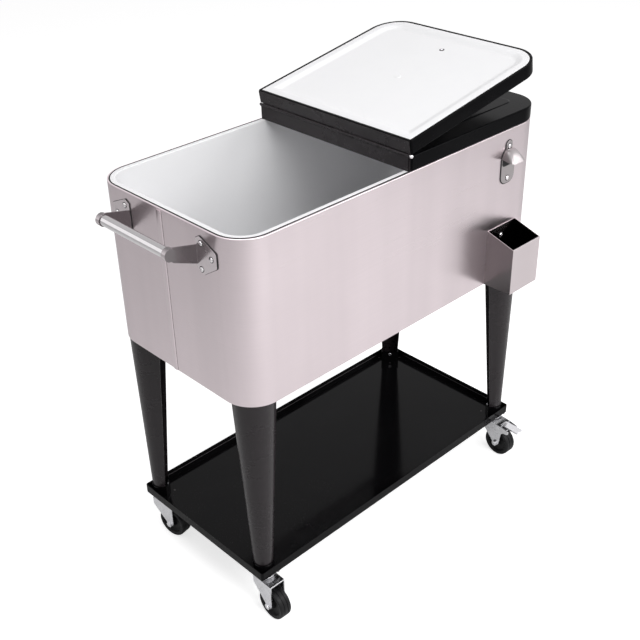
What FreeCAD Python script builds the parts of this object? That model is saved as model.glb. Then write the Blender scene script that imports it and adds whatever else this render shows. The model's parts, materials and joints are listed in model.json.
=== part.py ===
import FreeCAD
import Part
import Sketcher
import math
import os
import re
from FreeCAD import Placement, Rotation, Vector

# A rolling patio cooler cart: an insulated steel tub with a two-part folding lid, on four legs that
# stand on a shelf tray with swivel casters. The origin lies on the floor under the middle of the whole
# cart; +X runs along the tub, -Y is the front with the opener and the catcher, +Z is up.
# Left and right are those of a person who faces the front.

# ---------------------------------------------------------------- driving dimensions, mm and degrees
DIMENSIONS = [
    ("tub_length", "760", "outside length of the tub along X"),
    ("tub_width", "385", "outside width of the tub along Y"),
    ("tub_corner", "60", "outside radius of the tub's upright corners"),
    ("tub_base", "487.65", "height of the tub's lower edge above the floor"),
    ("tub_height", "310", "height of the outer shell"),
    ("shell_wall", "1", "sheet thickness of the outer shell"),
    ("hem_width", "3.6", "width of the rolled hem on the shell's upper edge"),
    ("hem_height", "3", "depth of the rolled hem"),
    ("gasket_gap", "0.1", "play on both sides of the rim gasket"),
    ("gasket_width", "1.6", "width of the rim gasket"),
    ("gasket_depth", "5", "depth of the rim gasket below the rim"),
    ("gasket_proud", "0.7", "height that the gasket stands above the rim"),
    ("rim_width", "9.2", "width of the liner's flat rim"),
    ("liner_wall", "2", "wall of the inner liner"),
    ("liner_depth", "272", "depth of the tub's inside"),
    ("liner_draft", "2", "draft of the liner's walls, degrees"),
    ("liner_bottom_radius", "26", "inside radius where the liner's walls meet its floor"),
    ("foam_play", "0.2", "play around the foam"),
    ("pan_recess", "12", "height of the bottom pan above the shell's lower edge"),
    ("pan_thickness", "1.2", "sheet thickness of the bottom pan"),
    ("drain_offset", "230", "distance of the drain from the tub's middle, towards the left end"),
    ("drain_bore_radius", "8.5", "bore of the drain fitting"),
    ("drain_tube_radius", "11", "outside radius of the drain fitting"),
    ("drain_flange_radius", "19", "radius of the drain fitting's flange"),
    ("drain_flange_thickness", "2.5", "thickness of the drain fitting's flange"),
    ("drain_drop", "26", "length of the drain fitting below the bottom pan"),
    ("drain_nut_radius", "19", "corner radius of the drain nut"),
    ("drain_nut_height", "9", "height of the drain nut"),
    ("plug_length", "22", "length of the drain plug inside the fitting"),
    ("plug_play", "0.3", "radial play of the drain plug"),
    ("plug_head_radius", "14", "radius of the drain plug's head"),
    ("plug_head_height", "3.5", "height of the drain plug's head"),
    ("plug_neck_radius", "4", "radius of the drain plug's neck"),
    ("plug_grip_radius", "7", "radius of the drain plug's grip"),
    ("plug_grip_low", "9", "height of the plug's grip above the fitting's flange"),
    ("plug_height", "16", "height of the drain plug above the fitting's flange"),
    ("handle_reach", "54", "distance of the handle tube's axis from the tub's end"),
    ("handle_height", "768.4", "height of the handle tube's axis above the floor"),
    ("handle_tube_radius", "9.5", "radius of the handle tube"),
    ("handle_tube_wall", "1.2", "wall of the handle tube"),
    ("handle_half_length", "91.5", "half the length of the handle tube"),
    ("bracket_sheet", "2", "sheet thickness of the handle brackets"),
    ("bracket_bend", "90", "distance of the brackets' outer bend face from the handle's middle"),
    ("bracket_foot_reach", "48", "reach of a bracket's foot along the wall"),
    ("bracket_foot_top", "16", "height of the bracket foot's peak above the tube's axis"),
    ("bracket_foot_low", "51", "depth of the bracket foot's tip below the tube's axis"),
    ("arm_root_top", "2", "depth of the arm's upper edge at the wall below the tube's axis"),
    ("arm_root_low", "36", "depth of the arm's lower edge at the wall below the tube's axis"),
    ("arm_tip_low", "17", "depth of the arm's lower corner near the tube below its axis"),
    ("upper_rivet_reach", "11", "distance of a bracket's upper rivet from its bend"),
    ("upper_rivet_rise", "4", "height of the upper rivet above the tube's axis"),
    ("middle_rivet_reach", "35", "distance of a bracket's middle rivet from its bend"),
    ("middle_rivet_drop", "16", "depth of the middle rivet below the tube's axis"),
    ("lower_rivet_reach", "9", "distance of a bracket's lower rivet from its bend"),
    ("lower_rivet_drop", "42", "depth of the lower rivet below the tube's axis"),
    ("cup_radius", "11.2", "outside radius of the cup around the tube's end"),
    ("cup_depth", "10", "depth of the cup"),
    ("cup_play", "0.05", "radial play of the tube in its cup"),
    ("rivet_shank_radius", "2.4", "radius of the rivets' shanks"),
    ("rivet_head_radius", "4.4", "radius of the rivets' heads"),
    ("rivet_head_height", "2.2", "height of the rivets' heads"),
    ("rivet_play", "0.05", "radial play of rivets and screws in their holes"),
    ("opener_centre", "277", "distance of the bottle opener from the tub's middle"),
    ("opener_top", "776", "height of the opener's upper end above the floor"),
    ("opener_height", "85", "height of the opener's plate"),
    ("opener_sheet", "2", "sheet thickness of the opener"),
    ("opener_ear", "9.5", "radius of the opener's upper ear"),
    ("opener_half_width", "20", "half the width of the opener's lower plate"),
    ("hood_top_drop", "16.5", "distance of the hood's root below the opener's upper end"),
    ("hood_height", "19.5", "height of the hood"),
    ("hood_half_width", "24", "half the width of the hood's mouth"),
    ("hood_reach", "26", "reach of the hood's mouth from the wall"),
    ("hood_waist_drop", "5.5", "height of the hood's steep upper part"),
    ("hood_waist_half_width", "16", "half the width of the hood below its steep part"),
    ("hood_waist_reach", "15", "reach of the hood from the wall below its steep part"),
    ("upper_screw_drop", "11", "depth of the opener's upper screw below its upper end"),
    ("lower_screw_drop", "75", "depth of the opener's lower screw below its upper end"),
    ("shoulder_drop", "31", "depth of the shoulders of the opener's plate below its upper end"),
    ("tooth_width", "12", "width of the opener's tooth"),
    ("tooth_height", "6", "height of the opener's tooth"),
    ("tooth_reach", "8", "reach of the opener's tooth from its plate"),
    ("tooth_rise", "8", "height of the tooth above the hood's lip"),
    ("catcher_centre", "272.5", "distance of the cap catcher from the tub's middle"),
    ("catcher_width", "85", "width of the cap catcher"),
    ("catcher_depth", "63", "depth of the cap catcher from the wall"),
    ("catcher_back_height", "116", "height of the catcher's back"),
    ("catcher_front_height", "96.5", "height of the catcher's front"),
    ("catcher_sheet", "1.2", "sheet thickness of the catcher"),
    ("catcher_screw_drop", "22", "distance of the catcher's screw below the top of its back"),
    ("face_screw_radius", "2.2", "radius of the screws on the front face"),
    ("face_head_radius", "4.6", "head radius of the screws on the front face"),
    ("face_head_height", "2.4", "head height of the screws on the front face"),
    ("leg_inset", "60", "distance of the legs' guide points inside the tub's sides"),
    ("leg_top_reach", "58.7", "reach of a leg's nose outwards from its guide point, at the top"),
    ("leg_foot_reach", "52.6", "reach of a leg's nose outwards from its guide point, at the foot"),
    ("leg_top_radius", "39.2", "radius of a leg's rounded nose at the top"),
    ("leg_foot_radius", "17.1", "radius of a leg's rounded nose at the foot"),
    ("leg_top_depth", "61.6", "depth of a leg from its nose to its open back, at the top"),
    ("leg_foot_depth", "26.3", "depth of a leg from its nose to its open back, at the foot"),
    ("leg_sheet", "1.5", "sheet thickness of the legs"),
    ("leg_bolt_radius", "2.5", "radius of the leg bolts"),
    ("leg_bolt_head_radius", "4.5", "head radius of the leg bolts"),
    ("leg_bolt_head_height", "2.8", "head height of the leg bolts"),
    ("leg_bolt_spread", "16", "half the distance between the two bolts at a leg's top"),
    ("socket_height", "24", "height of the sockets in which the legs' feet stand"),
    ("socket_play", "0.3", "play between a leg's foot and its socket"),
    ("foot_screw_height", "17", "height of the foot screws above the shelf's floor"),
    ("tray_length", "738", "length of the shelf tray"),
    ("tray_width", "362", "width of the shelf tray"),
    ("tray_corner", "5", "corner radius of the shelf tray"),
    ("tray_lip", "18", "height of the shelf tray's lip, floor sheet included"),
    ("tray_sheet", "1.5", "sheet thickness of the shelf tray"),
    ("caster_height", "96.5", "height of the shelf tray's underside above the floor"),
    ("caster_inset_length", "24.4", "distance of the swivel axes inside the tray's ends"),
    ("caster_inset_width", "23.5", "distance of the swivel axes inside the tray's sides"),
    ("caster_plate_size", "45", "side of the casters' square top plates"),
    ("caster_plate_thickness", "2.2", "thickness of the casters' top plates"),
    ("caster_hole_spacing", "35", "distance between a top plate's holes"),
    ("caster_bolt_radius", "2.5", "radius of the caster bolts"),
    ("caster_nut_radius", "4.4", "corner radius of the caster bolts' nuts"),
    ("caster_nut_height", "3", "height of the caster bolts' nuts"),
    ("raceway_radius", "19", "radius of the bearing race under the top plate"),
    ("raceway_height", "3", "height of the bearing race"),
    ("swivel_play", "0.3", "axial play of the swivel"),
    ("kingpin_radius", "4.5", "radius of the kingpin"),
    ("kingpin_head_radius", "8", "radius of the kingpin's head"),
    ("kingpin_head_height", "2.4", "height of the kingpin's head"),
    ("crown_radius", "20.7", "radius of the fork's crown"),
    ("crown_thickness", "8.5", "height of the fork's crown"),
    ("fork_width", "34.2", "outside width of the fork"),
    ("fork_sheet", "2", "sheet thickness of the fork"),
    ("cheek_front", "13", "reach of the fork's cheeks ahead of the swivel axis"),
    ("cheek_shoulder", "14", "height of the upright part of the fork's cheeks below the crown"),
    ("arm_reach", "61", "distance of the ends of a braked fork's arms behind the swivel axis"),
    ("arm_top_drop", "18", "depth of the arms' upper edge at their ends below the shelf tray"),
    ("arm_low_drop", "26", "depth of the arms' lower edge below the shelf tray"),
    ("cheek_foot", "14", "reach of the fork's cheeks below the axle"),
    ("cheek_foot_width", "9.5", "half the width of the fork's cheeks at the axle"),
    ("caster_trail", "28", "distance of the wheel's axle behind the swivel axis"),
    ("axle_end_reach", "1", "reach of an axle's ends beyond its head and nut"),
    ("wheel_radius", "32.5", "radius of the wheels"),
    ("wheel_width", "25.5", "width of the wheels' tread"),
    ("hub_radius", "9", "radius of the wheels' hubs"),
    ("hub_play", "0.4", "play between hub and fork on each side"),
    ("web_half_width", "6", "half the width of the wheels' web between hub and rim"),
    ("rim_depth", "8", "depth of the wheels' rim, groove and all"),
    ("tread_groove", "2", "half the width of the groove round the tread"),
    ("axle_radius", "4", "radius of the wheels' axles"),
    ("axle_head_radius", "6.8", "corner radius of the axles' heads and nuts"),
    ("axle_head_height", "3.6", "height of the axles' heads and nuts"),
    ("running_play", "0.05", "radial play of axles, kingpins and pins"),
    ("front_left_trail", "-91", "direction in which the front left wheel trails"),
    ("front_right_trail", "-92", "direction in which the front right wheel trails"),
    ("rear_left_trail", "-80", "direction in which the rear left wheel trails"),
    ("rear_right_trail", "-88", "direction in which the rear right wheel trails"),
    ("pedal_pivot_reach", "36", "distance of the brake pedal's pivot behind the swivel axis"),
    ("pedal_pivot_drop", "19", "depth of the brake pedal's pivot below the shelf tray"),
    ("pedal_pivot_radius", "2", "radius of the brake pedal's pivot pin"),
    ("pedal_reach", "81", "distance of the brake pedal's tip behind the swivel axis"),
    ("pedal_top_drop", "13.5", "depth of the brake pedal's tread below the shelf tray"),
    ("pedal_width", "19", "width of the brake pedal's tread"),
    ("pedal_sheet", "2", "sheet thickness of the brake pedal"),
    ("lid_skirt", "26", "height of the lids' skirts"),
    ("lid_sheet", "1", "sheet thickness of the lid covers"),
    ("lid_lift", "1.85", "height of the skirts' lower edges above the rim"),
    ("lid_corner", "60", "radius of the lids' outer corners"),
    ("lid_inner_corner", "4", "radius of the lids' corners at the hinge"),
    ("lid_gap", "2.6", "distance of the lids' end faces from the hinge axis"),
    ("hinge_rise", "1", "height of the hinge axis above the lids' tops"),
    ("panel_inset", "42", "distance of the raised panel inside the lid's edges"),
    ("panel_height", "1", "height of the raised panel on the lid"),
    ("under_pan_depth", "7", "thickness of the white under-pan"),
    ("under_pan_border", "12", "width of the under-pan's flat border"),
    ("under_pan_slope", "16", "width of the slope inside the border"),
    ("under_pan_recess", "4.5", "depth of the under-pan's recess"),
    ("lid_play", "0.3", "play between the layers of a lid"),
    ("knob_distance", "312", "distance of the knobs from the hinge axis"),
    ("knob_height", "25.8", "height of the knobs above the raised panel"),
    ("knob_head_radius", "12.5", "radius of the knobs' heads"),
    ("knob_base_radius", "9.5", "radius of the knobs' bases"),
    ("knob_neck_radius", "6.5", "radius of the knobs' necks"),
    ("knob_head_depth", "9", "depth of the knobs' heads"),
    ("knob_touch", "0.45", "half the play between two knobs that lie on each other"),
    ("knob_screw_radius", "2", "radius of the knob screws"),
    ("knob_screw_head_radius", "4.5", "head radius of the knob screws"),
    ("knob_screw_head_height", "1.8", "head height of the knob screws"),
    ("knob_screw_grip", "13", "length of the knob screws inside the knobs"),
    ("foam_plug_distance", "183", "distance of the foam plugs from the hinge axis"),
    ("foam_plug_radius", "6.5", "radius of the foam plugs"),
    ("hinge_length", "380", "length of the lid hinge"),
    ("hinge_pin_radius", "1.2", "radius of the hinge pin"),
    ("knuckle_radius", "2.4", "radius of the hinge knuckles"),
    ("knuckle_play", "0.4", "axial play between hinge knuckles"),
    ("bridge_knuckle", "12", "length of the bridge's knuckles at the hinge's ends and middle"),
    ("bridge_sheet", "1.2", "sheet thickness of the hinge bridge"),
    ("bridge_foot", "24", "width of the hinge bridge's foot"),
    ("leaf_sheet", "1.1", "sheet thickness of the hinge leaves"),
    ("leaf_play", "0.3", "play between leaf and lid, and between leaf and bridge"),
    ("bridge_rivet_radius", "2", "radius of the hinge bridge's rivets"),
]

doc = FreeCAD.newDocument("cooler_cart")
sheet = doc.addObject("Spreadsheet::Sheet", "Sizes")
for row, (alias, amount, meaning) in enumerate(DIMENSIONS, start=1):
    sheet.set(f"A{row}", meaning)
    sheet.set(f"B{row}", amount)
    sheet.setAlias(f"B{row}", alias)
doc.recompute()

ALIASES = {alias for alias, amount, meaning in DIMENSIONS}
ORIGIN_PLANE_AXES = {"XY_Plane": 1, "XZ_Plane": -1, "YZ_Plane": 1}
sub_parts = []


# ---------------------------------------------------------------- names, numbers and bindings
def qualified(expression):
    """The expression with each of the sheet's aliases written as a reference to the sheet."""
    def reference(word):
        """An alias with the sheet's name before it; any other word as it is."""
        return f"Sizes.{word.group()}" if word.group() in ALIASES else word.group()

    return re.sub(r"[a-z]\w*", reference, expression)


def number(expression):
    """What an expression on the sheet's aliases comes to."""
    result = sheet.evalExpression(qualified(expression))
    return float(getattr(result, "Value", result))


def bind(item, prop, expression):
    """Tie a property to the sheet."""
    item.setExpression(prop, qualified(expression))


def place(item, x="0", y="0", z="0", axis=(0, 0, 1), angle=0.0):
    """Set a sub-part's place, whose shift follows the sheet."""
    item.Placement = Placement(Vector(0, 0, 0), Rotation(Vector(*axis), angle))
    for letter, expression in zip("xyz", (x, y, z)):
        bind(item, f"Placement.Base.{letter}", expression)


def new_body(label):
    """An empty body, listed as a sub-part."""
    body = doc.addObject("PartDesign::Body", label)
    body.Label = label
    sub_parts.append(body)
    return body


def new_group(label, solids):
    """One node of separate solids, such as a set of equal fasteners."""
    group = doc.addObject("Part::Feature", label)
    group.Label = label
    group.Shape = Part.makeCompound(solids)
    sub_parts.append(group)
    return group


# ---------------------------------------------------------------- sketches
def sketch_on(body, plane, normal="0", across="0", up="0", turned=0.0):
    """A sketch on one of the body's planes, shifted along the frame's own axes.

    normal is the coordinate along the plane's axis; across and up shift the sketch in its plane, and
    turned swings it about its own upward axis.
    """
    sketch = body.newObject("Sketcher::SketchObject", "sketch")
    support = [feature for feature in body.Origin.OriginFeatures if feature.Role == plane][0]
    sketch.AttachmentSupport = [(support, "")]
    sketch.MapMode = "FlatFace"
    sketch.AttachmentOffset = Placement(Vector(0, 0, 0), Rotation(Vector(0, 1, 0), turned))
    sign = "-" if ORIGIN_PLANE_AXES[plane] < 0 else ""
    bind(sketch, "AttachmentOffset.Base.z", f"{sign}({normal})")
    bind(sketch, "AttachmentOffset.Base.x", across)
    bind(sketch, "AttachmentOffset.Base.y", up)
    return sketch


def fix_point(sketch, geometry, vertex, x, y):
    """Hold a point of the sketch at x, y from its origin."""
    for kind, axis, expression in (("DistanceX", -2, x), ("DistanceY", -1, y)):
        if expression == "0":
            sketch.addConstraint(Sketcher.Constraint("PointOnObject", geometry, vertex, axis))
            continue
        limit = Sketcher.Constraint(kind, -1, 1, geometry, vertex, number(expression))
        index = sketch.addConstraint(limit)
        bind(sketch, f"Constraints[{index}]", expression)


def fix_radius(sketch, geometry, expression):
    """Hold the radius of an arc or a circle."""
    index = sketch.addConstraint(Sketcher.Constraint("Radius", geometry, number(expression)))
    bind(sketch, f"Constraints[{index}]", expression)


def draw_circle(sketch, x, y, radius):
    """A circle of the given centre and radius."""
    centre = Vector(number(x), number(y), 0)
    geometry = sketch.addGeometry(Part.Circle(centre, Vector(0, 0, 1), number(radius)))
    fix_point(sketch, geometry, 3, x, y)
    fix_radius(sketch, geometry, radius)


def arc_between(first, last, radius):
    """The shorter arc from first to last, and whether it runs anticlockwise (a positive radius)."""
    chord = last - first
    rise = math.sqrt(radius ** 2 - (chord.Length / 2) ** 2)
    left = Vector(-chord.y, chord.x, 0).normalize()
    turn = 1 if radius > 0 else -1
    centre = (first + last) * 0.5 + left * (rise * turn)
    ends = (first, last) if turn > 0 else (last, first)
    angles = [math.atan2(end.y - centre.y, end.x - centre.x) for end in ends]
    return Part.ArcOfCircle(Part.Circle(centre, Vector(0, 0, 1), abs(radius)), angles[0], angles[1])


def draw_loop(sketch, corners, arcs=None):
    """A closed loop through the corners, each (x, y) or, where it is rounded, (x, y, radius).

    arcs maps a side's number to the radius that bends it, positive where it turns anticlockwise.
    """
    arcs = arcs or {}
    count = len(corners)
    points = [Vector(number(corner[0]), number(corner[1]), 0) for corner in corners]
    rounds = [number(corner[2]) if len(corner) > 2 else 0.0 for corner in corners]
    ways = []
    for index, point in enumerate(points):
        back = (points[index - 1] - point).normalize()
        ahead = (points[(index + 1) % count] - point).normalize()
        half = back.getAngle(ahead) / 2
        reach = rounds[index] / math.tan(half)
        centre = point
        if rounds[index]:
            centre = point + (back + ahead).normalize() * (rounds[index] / math.sin(half))
        ways.append((point + back * reach, point + ahead * reach, centre, back.cross(ahead).z < 0))
    sides = []
    for index in range(count):
        first, last = ways[index][1], ways[(index + 1) % count][0]
        if index in arcs:
            bend = -number(arcs[index][1:]) if arcs[index][0] == "-" else number(arcs[index])
            geometry = sketch.addGeometry(arc_between(first, last, bend))
            fix_radius(sketch, geometry, arcs[index].lstrip("-"))
            sides.append((geometry, 1, 2) if bend > 0 else (geometry, 2, 1))
        else:
            geometry = sketch.addGeometry(Part.LineSegment(first, last))
            sides.append((geometry, 1, 2))
    for index, corner in enumerate(corners):
        before, before_start, before_end = sides[index - 1]
        after, after_start, after_end = sides[index]
        if not rounds[index]:
            joint = Sketcher.Constraint("Coincident", before, before_end, after, after_start)
            sketch.addConstraint(joint)
            fix_point(sketch, after, after_start, corner[0], corner[1])
            continue
        entry, leave, centre, anticlockwise = ways[index]
        ends = (entry, leave) if anticlockwise else (leave, entry)
        angles = [math.atan2(end.y - centre.y, end.x - centre.x) for end in ends]
        circle = Part.Circle(centre, Vector(0, 0, 1), rounds[index])
        arc = sketch.addGeometry(Part.ArcOfCircle(circle, angles[0], angles[1]))
        first, last = (1, 2) if anticlockwise else (2, 1)
        sketch.addConstraint(Sketcher.Constraint("Tangent", before, before_end, arc, first))
        sketch.addConstraint(Sketcher.Constraint("Tangent", arc, last, after, after_start))
        fix_radius(sketch, arc, corner[2])
        peak = sketch.addGeometry(Part.Point(points[index]), True)
        fix_point(sketch, peak, 1, corner[0], corner[1])
        sketch.addConstraint(Sketcher.Constraint("PointOnObject", peak, 1, before))
        sketch.addConstraint(Sketcher.Constraint("PointOnObject", peak, 1, after))


def draw(sketch, *outlines):
    """Draw outlines: a list is a loop, a pair of list and dict a loop with arcs, a tuple a circle."""
    for outline in outlines:
        if isinstance(outline, list):
            draw_loop(sketch, outline)
        elif isinstance(outline[0], list):
            draw_loop(sketch, outline[0], outline[1])
        else:
            draw_circle(sketch, *outline)


def rectangle(length, width, radius=None, x="0", y="0"):
    """The corners of a rectangle about x, y."""
    corners = []
    for sign_x, sign_y in ((-1, -1), (1, -1), (1, 1), (-1, 1)):
        corner = (f"({x}) + {sign_x} * ({length}) / 2", f"({y}) + {sign_y} * ({width}) / 2")
        corners.append(corner + (radius,) if radius else corner)
    return corners


# ---------------------------------------------------------------- features
def pad(body, plane, middle, thickness, *outlines):
    """Material of the given thickness, half on each side of the coordinate named middle."""
    sketch = sketch_on(body, plane, middle)
    draw(sketch, *outlines)
    feature = body.newObject("PartDesign::Pad", "pad")
    feature.Profile = sketch
    feature.SideType = "Symmetric"
    bind(feature, "Length", thickness)
    return feature


def cut(body, plane, middle, thickness, *outlines, across="0", up="0", turned=0.0):
    """A pocket of the given depth, half on each side of the coordinate named middle."""
    doc.recompute()
    before = body.Shape.Volume
    sketch = sketch_on(body, plane, middle, across, up, turned)
    draw(sketch, *outlines)
    feature = body.newObject("PartDesign::Pocket", "pocket")
    feature.Profile = sketch
    feature.SideType = "Symmetric"
    bind(feature, "Length", thickness)
    doc.recompute()
    if not body.Shape.Volume < before:
        raise RuntimeError(f"a pocket in {body.Label} takes nothing away")
    return feature


def loft(body, kind, low, low_outline, high, high_outline):
    """A loft, additive or subtractive, between level outlines at two heights."""
    sketches = []
    for height, outline in ((low, low_outline), (high, high_outline)):
        sketch = sketch_on(body, "XY_Plane", height)
        draw(sketch, outline)
        sketches.append(sketch)
    doc.recompute()
    feature = body.newObject(kind, "loft")
    feature.Profile = sketches[1]
    feature.Sections = [sketches[0]]
    feature.Ruled = True
    return feature


def turn(body, plane, axis, corners, across="0", up="0", normal="0", kind="PartDesign::Revolution"):
    """A turned piece: the loop of corners revolved about one of the sketch's own axes."""
    sketch = sketch_on(body, plane, normal, across, up)
    draw(sketch, corners)
    feature = body.newObject(kind, "turned")
    feature.Profile = sketch
    feature.ReferenceAxis = (sketch, [axis])
    feature.Angle = 360
    return feature


def round_edges(body, radius, chosen):
    """Fillet the edges of the body that the test picks."""
    doc.recompute()
    base = body.Tip
    names = [f"Edge{index}" for index, edge in enumerate(base.Shape.Edges, start=1) if chosen(edge)]
    feature = body.newObject("PartDesign::Fillet", "fillet")
    feature.Base = (base, names)
    bind(feature, "Radius", radius)
    return feature


def lies_at(edge, height):
    """Whether an edge lies level at a height."""
    box = edge.BoundBox
    return abs(box.ZMin - height) < 1e-4 and abs(box.ZMax - height) < 1e-4


# ---------------------------------------------------------------- the tub
RIM = "(tub_base + tub_height)"
CENTRE_Y = "catcher_depth / 2"
PAN_UNDERSIDE = "(tub_base + pan_recess)"
PAN_TOP = "(tub_base + pan_recess + pan_thickness)"
GASKET_INSET = "(hem_width + gasket_gap)"
RIM_INSET = "(hem_width + 2 * gasket_gap + gasket_width)"
OPENING_INSET = "(hem_width + 2 * gasket_gap + gasket_width + rim_width)"
LINER_FLOOR = f"({RIM} - liner_depth)"
FRONT = "(-tub_width / 2)"
HANDLE_RIVETS = (
    ("bracket_bend + upper_rivet_reach", "handle_height + upper_rivet_rise"),
    ("bracket_bend + middle_rivet_reach", "handle_height - middle_rivet_drop"),
    ("bracket_bend + lower_rivet_reach", "handle_height - lower_rivet_drop"),
)
OPENER_SCREWS = ("opener_top - upper_screw_drop", "opener_top - lower_screw_drop")
CATCHER_SCREW = "tub_base + catcher_back_height - catcher_screw_drop"


def tub_outline(inset):
    """The tub's outline, drawn in by inset."""
    return rectangle(
        f"tub_length - 2 * ({inset})", f"tub_width - 2 * ({inset})", f"tub_corner - ({inset})"
    )


def stand_in_cart(body):
    """Shift a piece drawn about the tub's middle into the cart's frame."""
    place(body, y=CENTRE_Y)


def make_outer_shell():
    """The wrapped steel shell, with a rolled hem on its upper edge and its rivet holes."""
    body = new_body("outer_shell")
    middle = "tub_base + tub_height / 2"
    pad(body, "XY_Plane", middle, "tub_height", tub_outline("0"), tub_outline("shell_wall"))
    hem_middle = f"{RIM} - hem_height / 2"
    pad(body, "XY_Plane", hem_middle, "hem_height", tub_outline("0"), tub_outline("hem_width"))
    hole = "rivet_shank_radius + rivet_play"
    rivets = [(f"{side} * ({y})", z, hole) for side in (1, -1) for y, z in HANDLE_RIVETS]
    cut(body, "YZ_Plane", "0", "tub_length + 10 * shell_wall", *rivets)
    screw_hole = "face_screw_radius + rivet_play"
    screws = [("opener_centre", z, screw_hole) for z in OPENER_SCREWS]
    screws.append(("catcher_centre", CATCHER_SCREW, screw_hole))
    cut(body, "XZ_Plane", FRONT, "6 * shell_wall", *screws)
    stand_in_cart(body)


def make_rim_gasket():
    """The dark rubber strip between the rolled hem and the liner's rim, under the lids' skirts."""
    body = new_body("rim_gasket")
    depth = "gasket_depth + gasket_proud"
    middle = f"{RIM} + (gasket_proud - gasket_depth) / 2"
    inner = f"{GASKET_INSET} + gasket_width"
    pad(body, "XY_Plane", middle, depth, tub_outline(GASKET_INSET), tub_outline(inner))
    stand_in_cart(body)


def drafted_well(body, kind, inset, depth):
    """A well below the rim whose walls lean in with the liner's draft."""
    low_inset = f"({inset} + {depth} * tan(liner_draft))"
    loft(body, kind, f"({RIM} - {depth})", tub_outline(low_inset), RIM, tub_outline(inset))


def make_inner_liner():
    """The white liner: a drafted tub with a rounded floor and a flat rim."""
    body = new_body("inner_liner")
    drafted_well(body, "PartDesign::AdditiveLoft", f"({OPENING_INSET} - liner_wall)",
                 "(liner_depth + liner_wall)")
    flange_middle = f"{RIM} - liner_wall / 2"
    pad(body, "XY_Plane", flange_middle, "liner_wall", tub_outline(RIM_INSET))
    doc.recompute()
    drafted_well(body, "PartDesign::SubtractiveLoft", OPENING_INSET, "liner_depth")
    floor = number(LINER_FLOOR)
    round_edges(body, "liner_bottom_radius", lambda edge: lies_at(edge, floor))
    underside = number(f"{LINER_FLOOR} - liner_wall")
    round_edges(body, "liner_bottom_radius + liner_wall", lambda edge: lies_at(edge, underside))
    hole = "drain_tube_radius + foam_play"
    cut(body, "XY_Plane", LINER_FLOOR, "4 * liner_wall", ("-drain_offset", "0", hole))
    rivets = [(x, y, "bridge_rivet_radius + rivet_play") for x, y in bridge_rivets()]
    cut(body, "XY_Plane", flange_middle, "2 * liner_wall", *rivets)
    stand_in_cart(body)


def make_insulation():
    """The foam between shell, bottom pan and liner."""
    body = new_body("insulation")
    top = f"({RIM} - gasket_depth - foam_play)"
    low = f"({PAN_TOP} + foam_play)"
    outline = tub_outline("shell_wall + foam_play")
    pad(body, "XY_Plane", f"({top} + {low}) / 2", f"{top} - {low}", outline)
    drafted_well(body, "PartDesign::SubtractiveLoft", f"({OPENING_INSET} - liner_wall - foam_play)",
                 "(liner_depth + liner_wall + foam_play)")
    depth = f"2 * ({LINER_FLOOR} - {low})"
    hole = "drain_tube_radius + foam_play"
    cut(body, "XY_Plane", low, depth, ("-drain_offset", "0", hole))
    stand_in_cart(body)


def make_bottom_pan():
    """The sheet that closes the shell above its lower edge and carries the legs."""
    body = new_body("bottom_pan")
    outline = tub_outline("shell_wall + gasket_gap")
    pad(body, "XY_Plane", f"({PAN_UNDERSIDE} + {PAN_TOP}) / 2", "pan_thickness", outline)
    hole = "leg_bolt_radius + rivet_play"
    holes = [("-drain_offset", "0", "drain_tube_radius + foam_play")]
    for sign_x, sign_y in CORNERS.values():
        for side in (-1, 1):
            x, y = beside_leg(LEG_BOLT_REACH, f"{side} * leg_bolt_spread", sign_x, sign_y)
            holes.append((x, y, hole))
    cut(body, "XY_Plane", PAN_UNDERSIDE, "4 * pan_thickness", *holes)
    stand_in_cart(body)


def hexagon(radius, x="0", y="0"):
    """The corners of a hexagon about x, y."""
    corners = []
    for turned in range(0, 360, 60):
        corners.append((f"{x} + {radius} * cos({turned})", f"{y} + {radius} * sin({turned})"))
    return corners


def make_drain():
    """The flanged drain fitting, the nut that clamps it, and the plug that pulls out of it."""
    flange_top = f"({LINER_FLOOR} + drain_flange_thickness)"
    end = f"({PAN_UNDERSIDE} - drain_drop)"
    fitting = new_body("drain_fitting")
    turn(fitting, "XZ_Plane", "V_Axis", [
        ("drain_bore_radius", end),
        ("drain_tube_radius", end),
        ("drain_tube_radius", LINER_FLOOR),
        ("drain_flange_radius", LINER_FLOOR),
        ("drain_flange_radius", flange_top, "1.5"),
        ("drain_bore_radius", flange_top),
    ])
    place(fitting, "-drain_offset", CENTRE_Y)
    nut = new_body("drain_nut")
    middle = f"{PAN_UNDERSIDE} - drain_nut_height / 2"
    hole = ("0", "0", "drain_tube_radius + rivet_play")
    pad(nut, "XY_Plane", middle, "drain_nut_height", hexagon("drain_nut_radius"), hole)
    place(nut, "-drain_offset", CENTRE_Y)
    plug = new_body("drain_plug")
    reach = "drain_bore_radius - plug_play"
    turn(plug, "XZ_Plane", "V_Axis", [
        ("0", f"{flange_top} - plug_length"),
        (f"{reach} - 1.5", f"{flange_top} - plug_length", "1"),
        (reach, flange_top),
        ("plug_head_radius", flange_top),
        ("plug_head_radius", f"{flange_top} + plug_head_height", "1.5"),
        ("plug_neck_radius", f"{flange_top} + plug_head_height", "1.5"),
        ("plug_neck_radius", f"{flange_top} + plug_grip_low", "1"),
        ("plug_grip_radius", f"{flange_top} + plug_grip_low + 1.5", "1.2"),
        ("plug_grip_radius", f"{flange_top} + plug_height", "2"),
        ("0", f"{flange_top} + plug_height"),
    ])
    place(plug, "-drain_offset", CENTRE_Y)


# ---------------------------------------------------------------- handles
def make_handle_bar(label, end):
    """A bright tube across one end of the tub."""
    body = new_body(label)
    middle = f"{end} * (tub_length / 2 + handle_reach)"
    tube = (middle, "handle_height", "handle_tube_radius")
    bore = (middle, "handle_height", "handle_tube_radius - handle_tube_wall")
    pad(body, "XZ_Plane", "0", "2 * handle_half_length", tube, bore)
    stand_in_cart(body)


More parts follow.
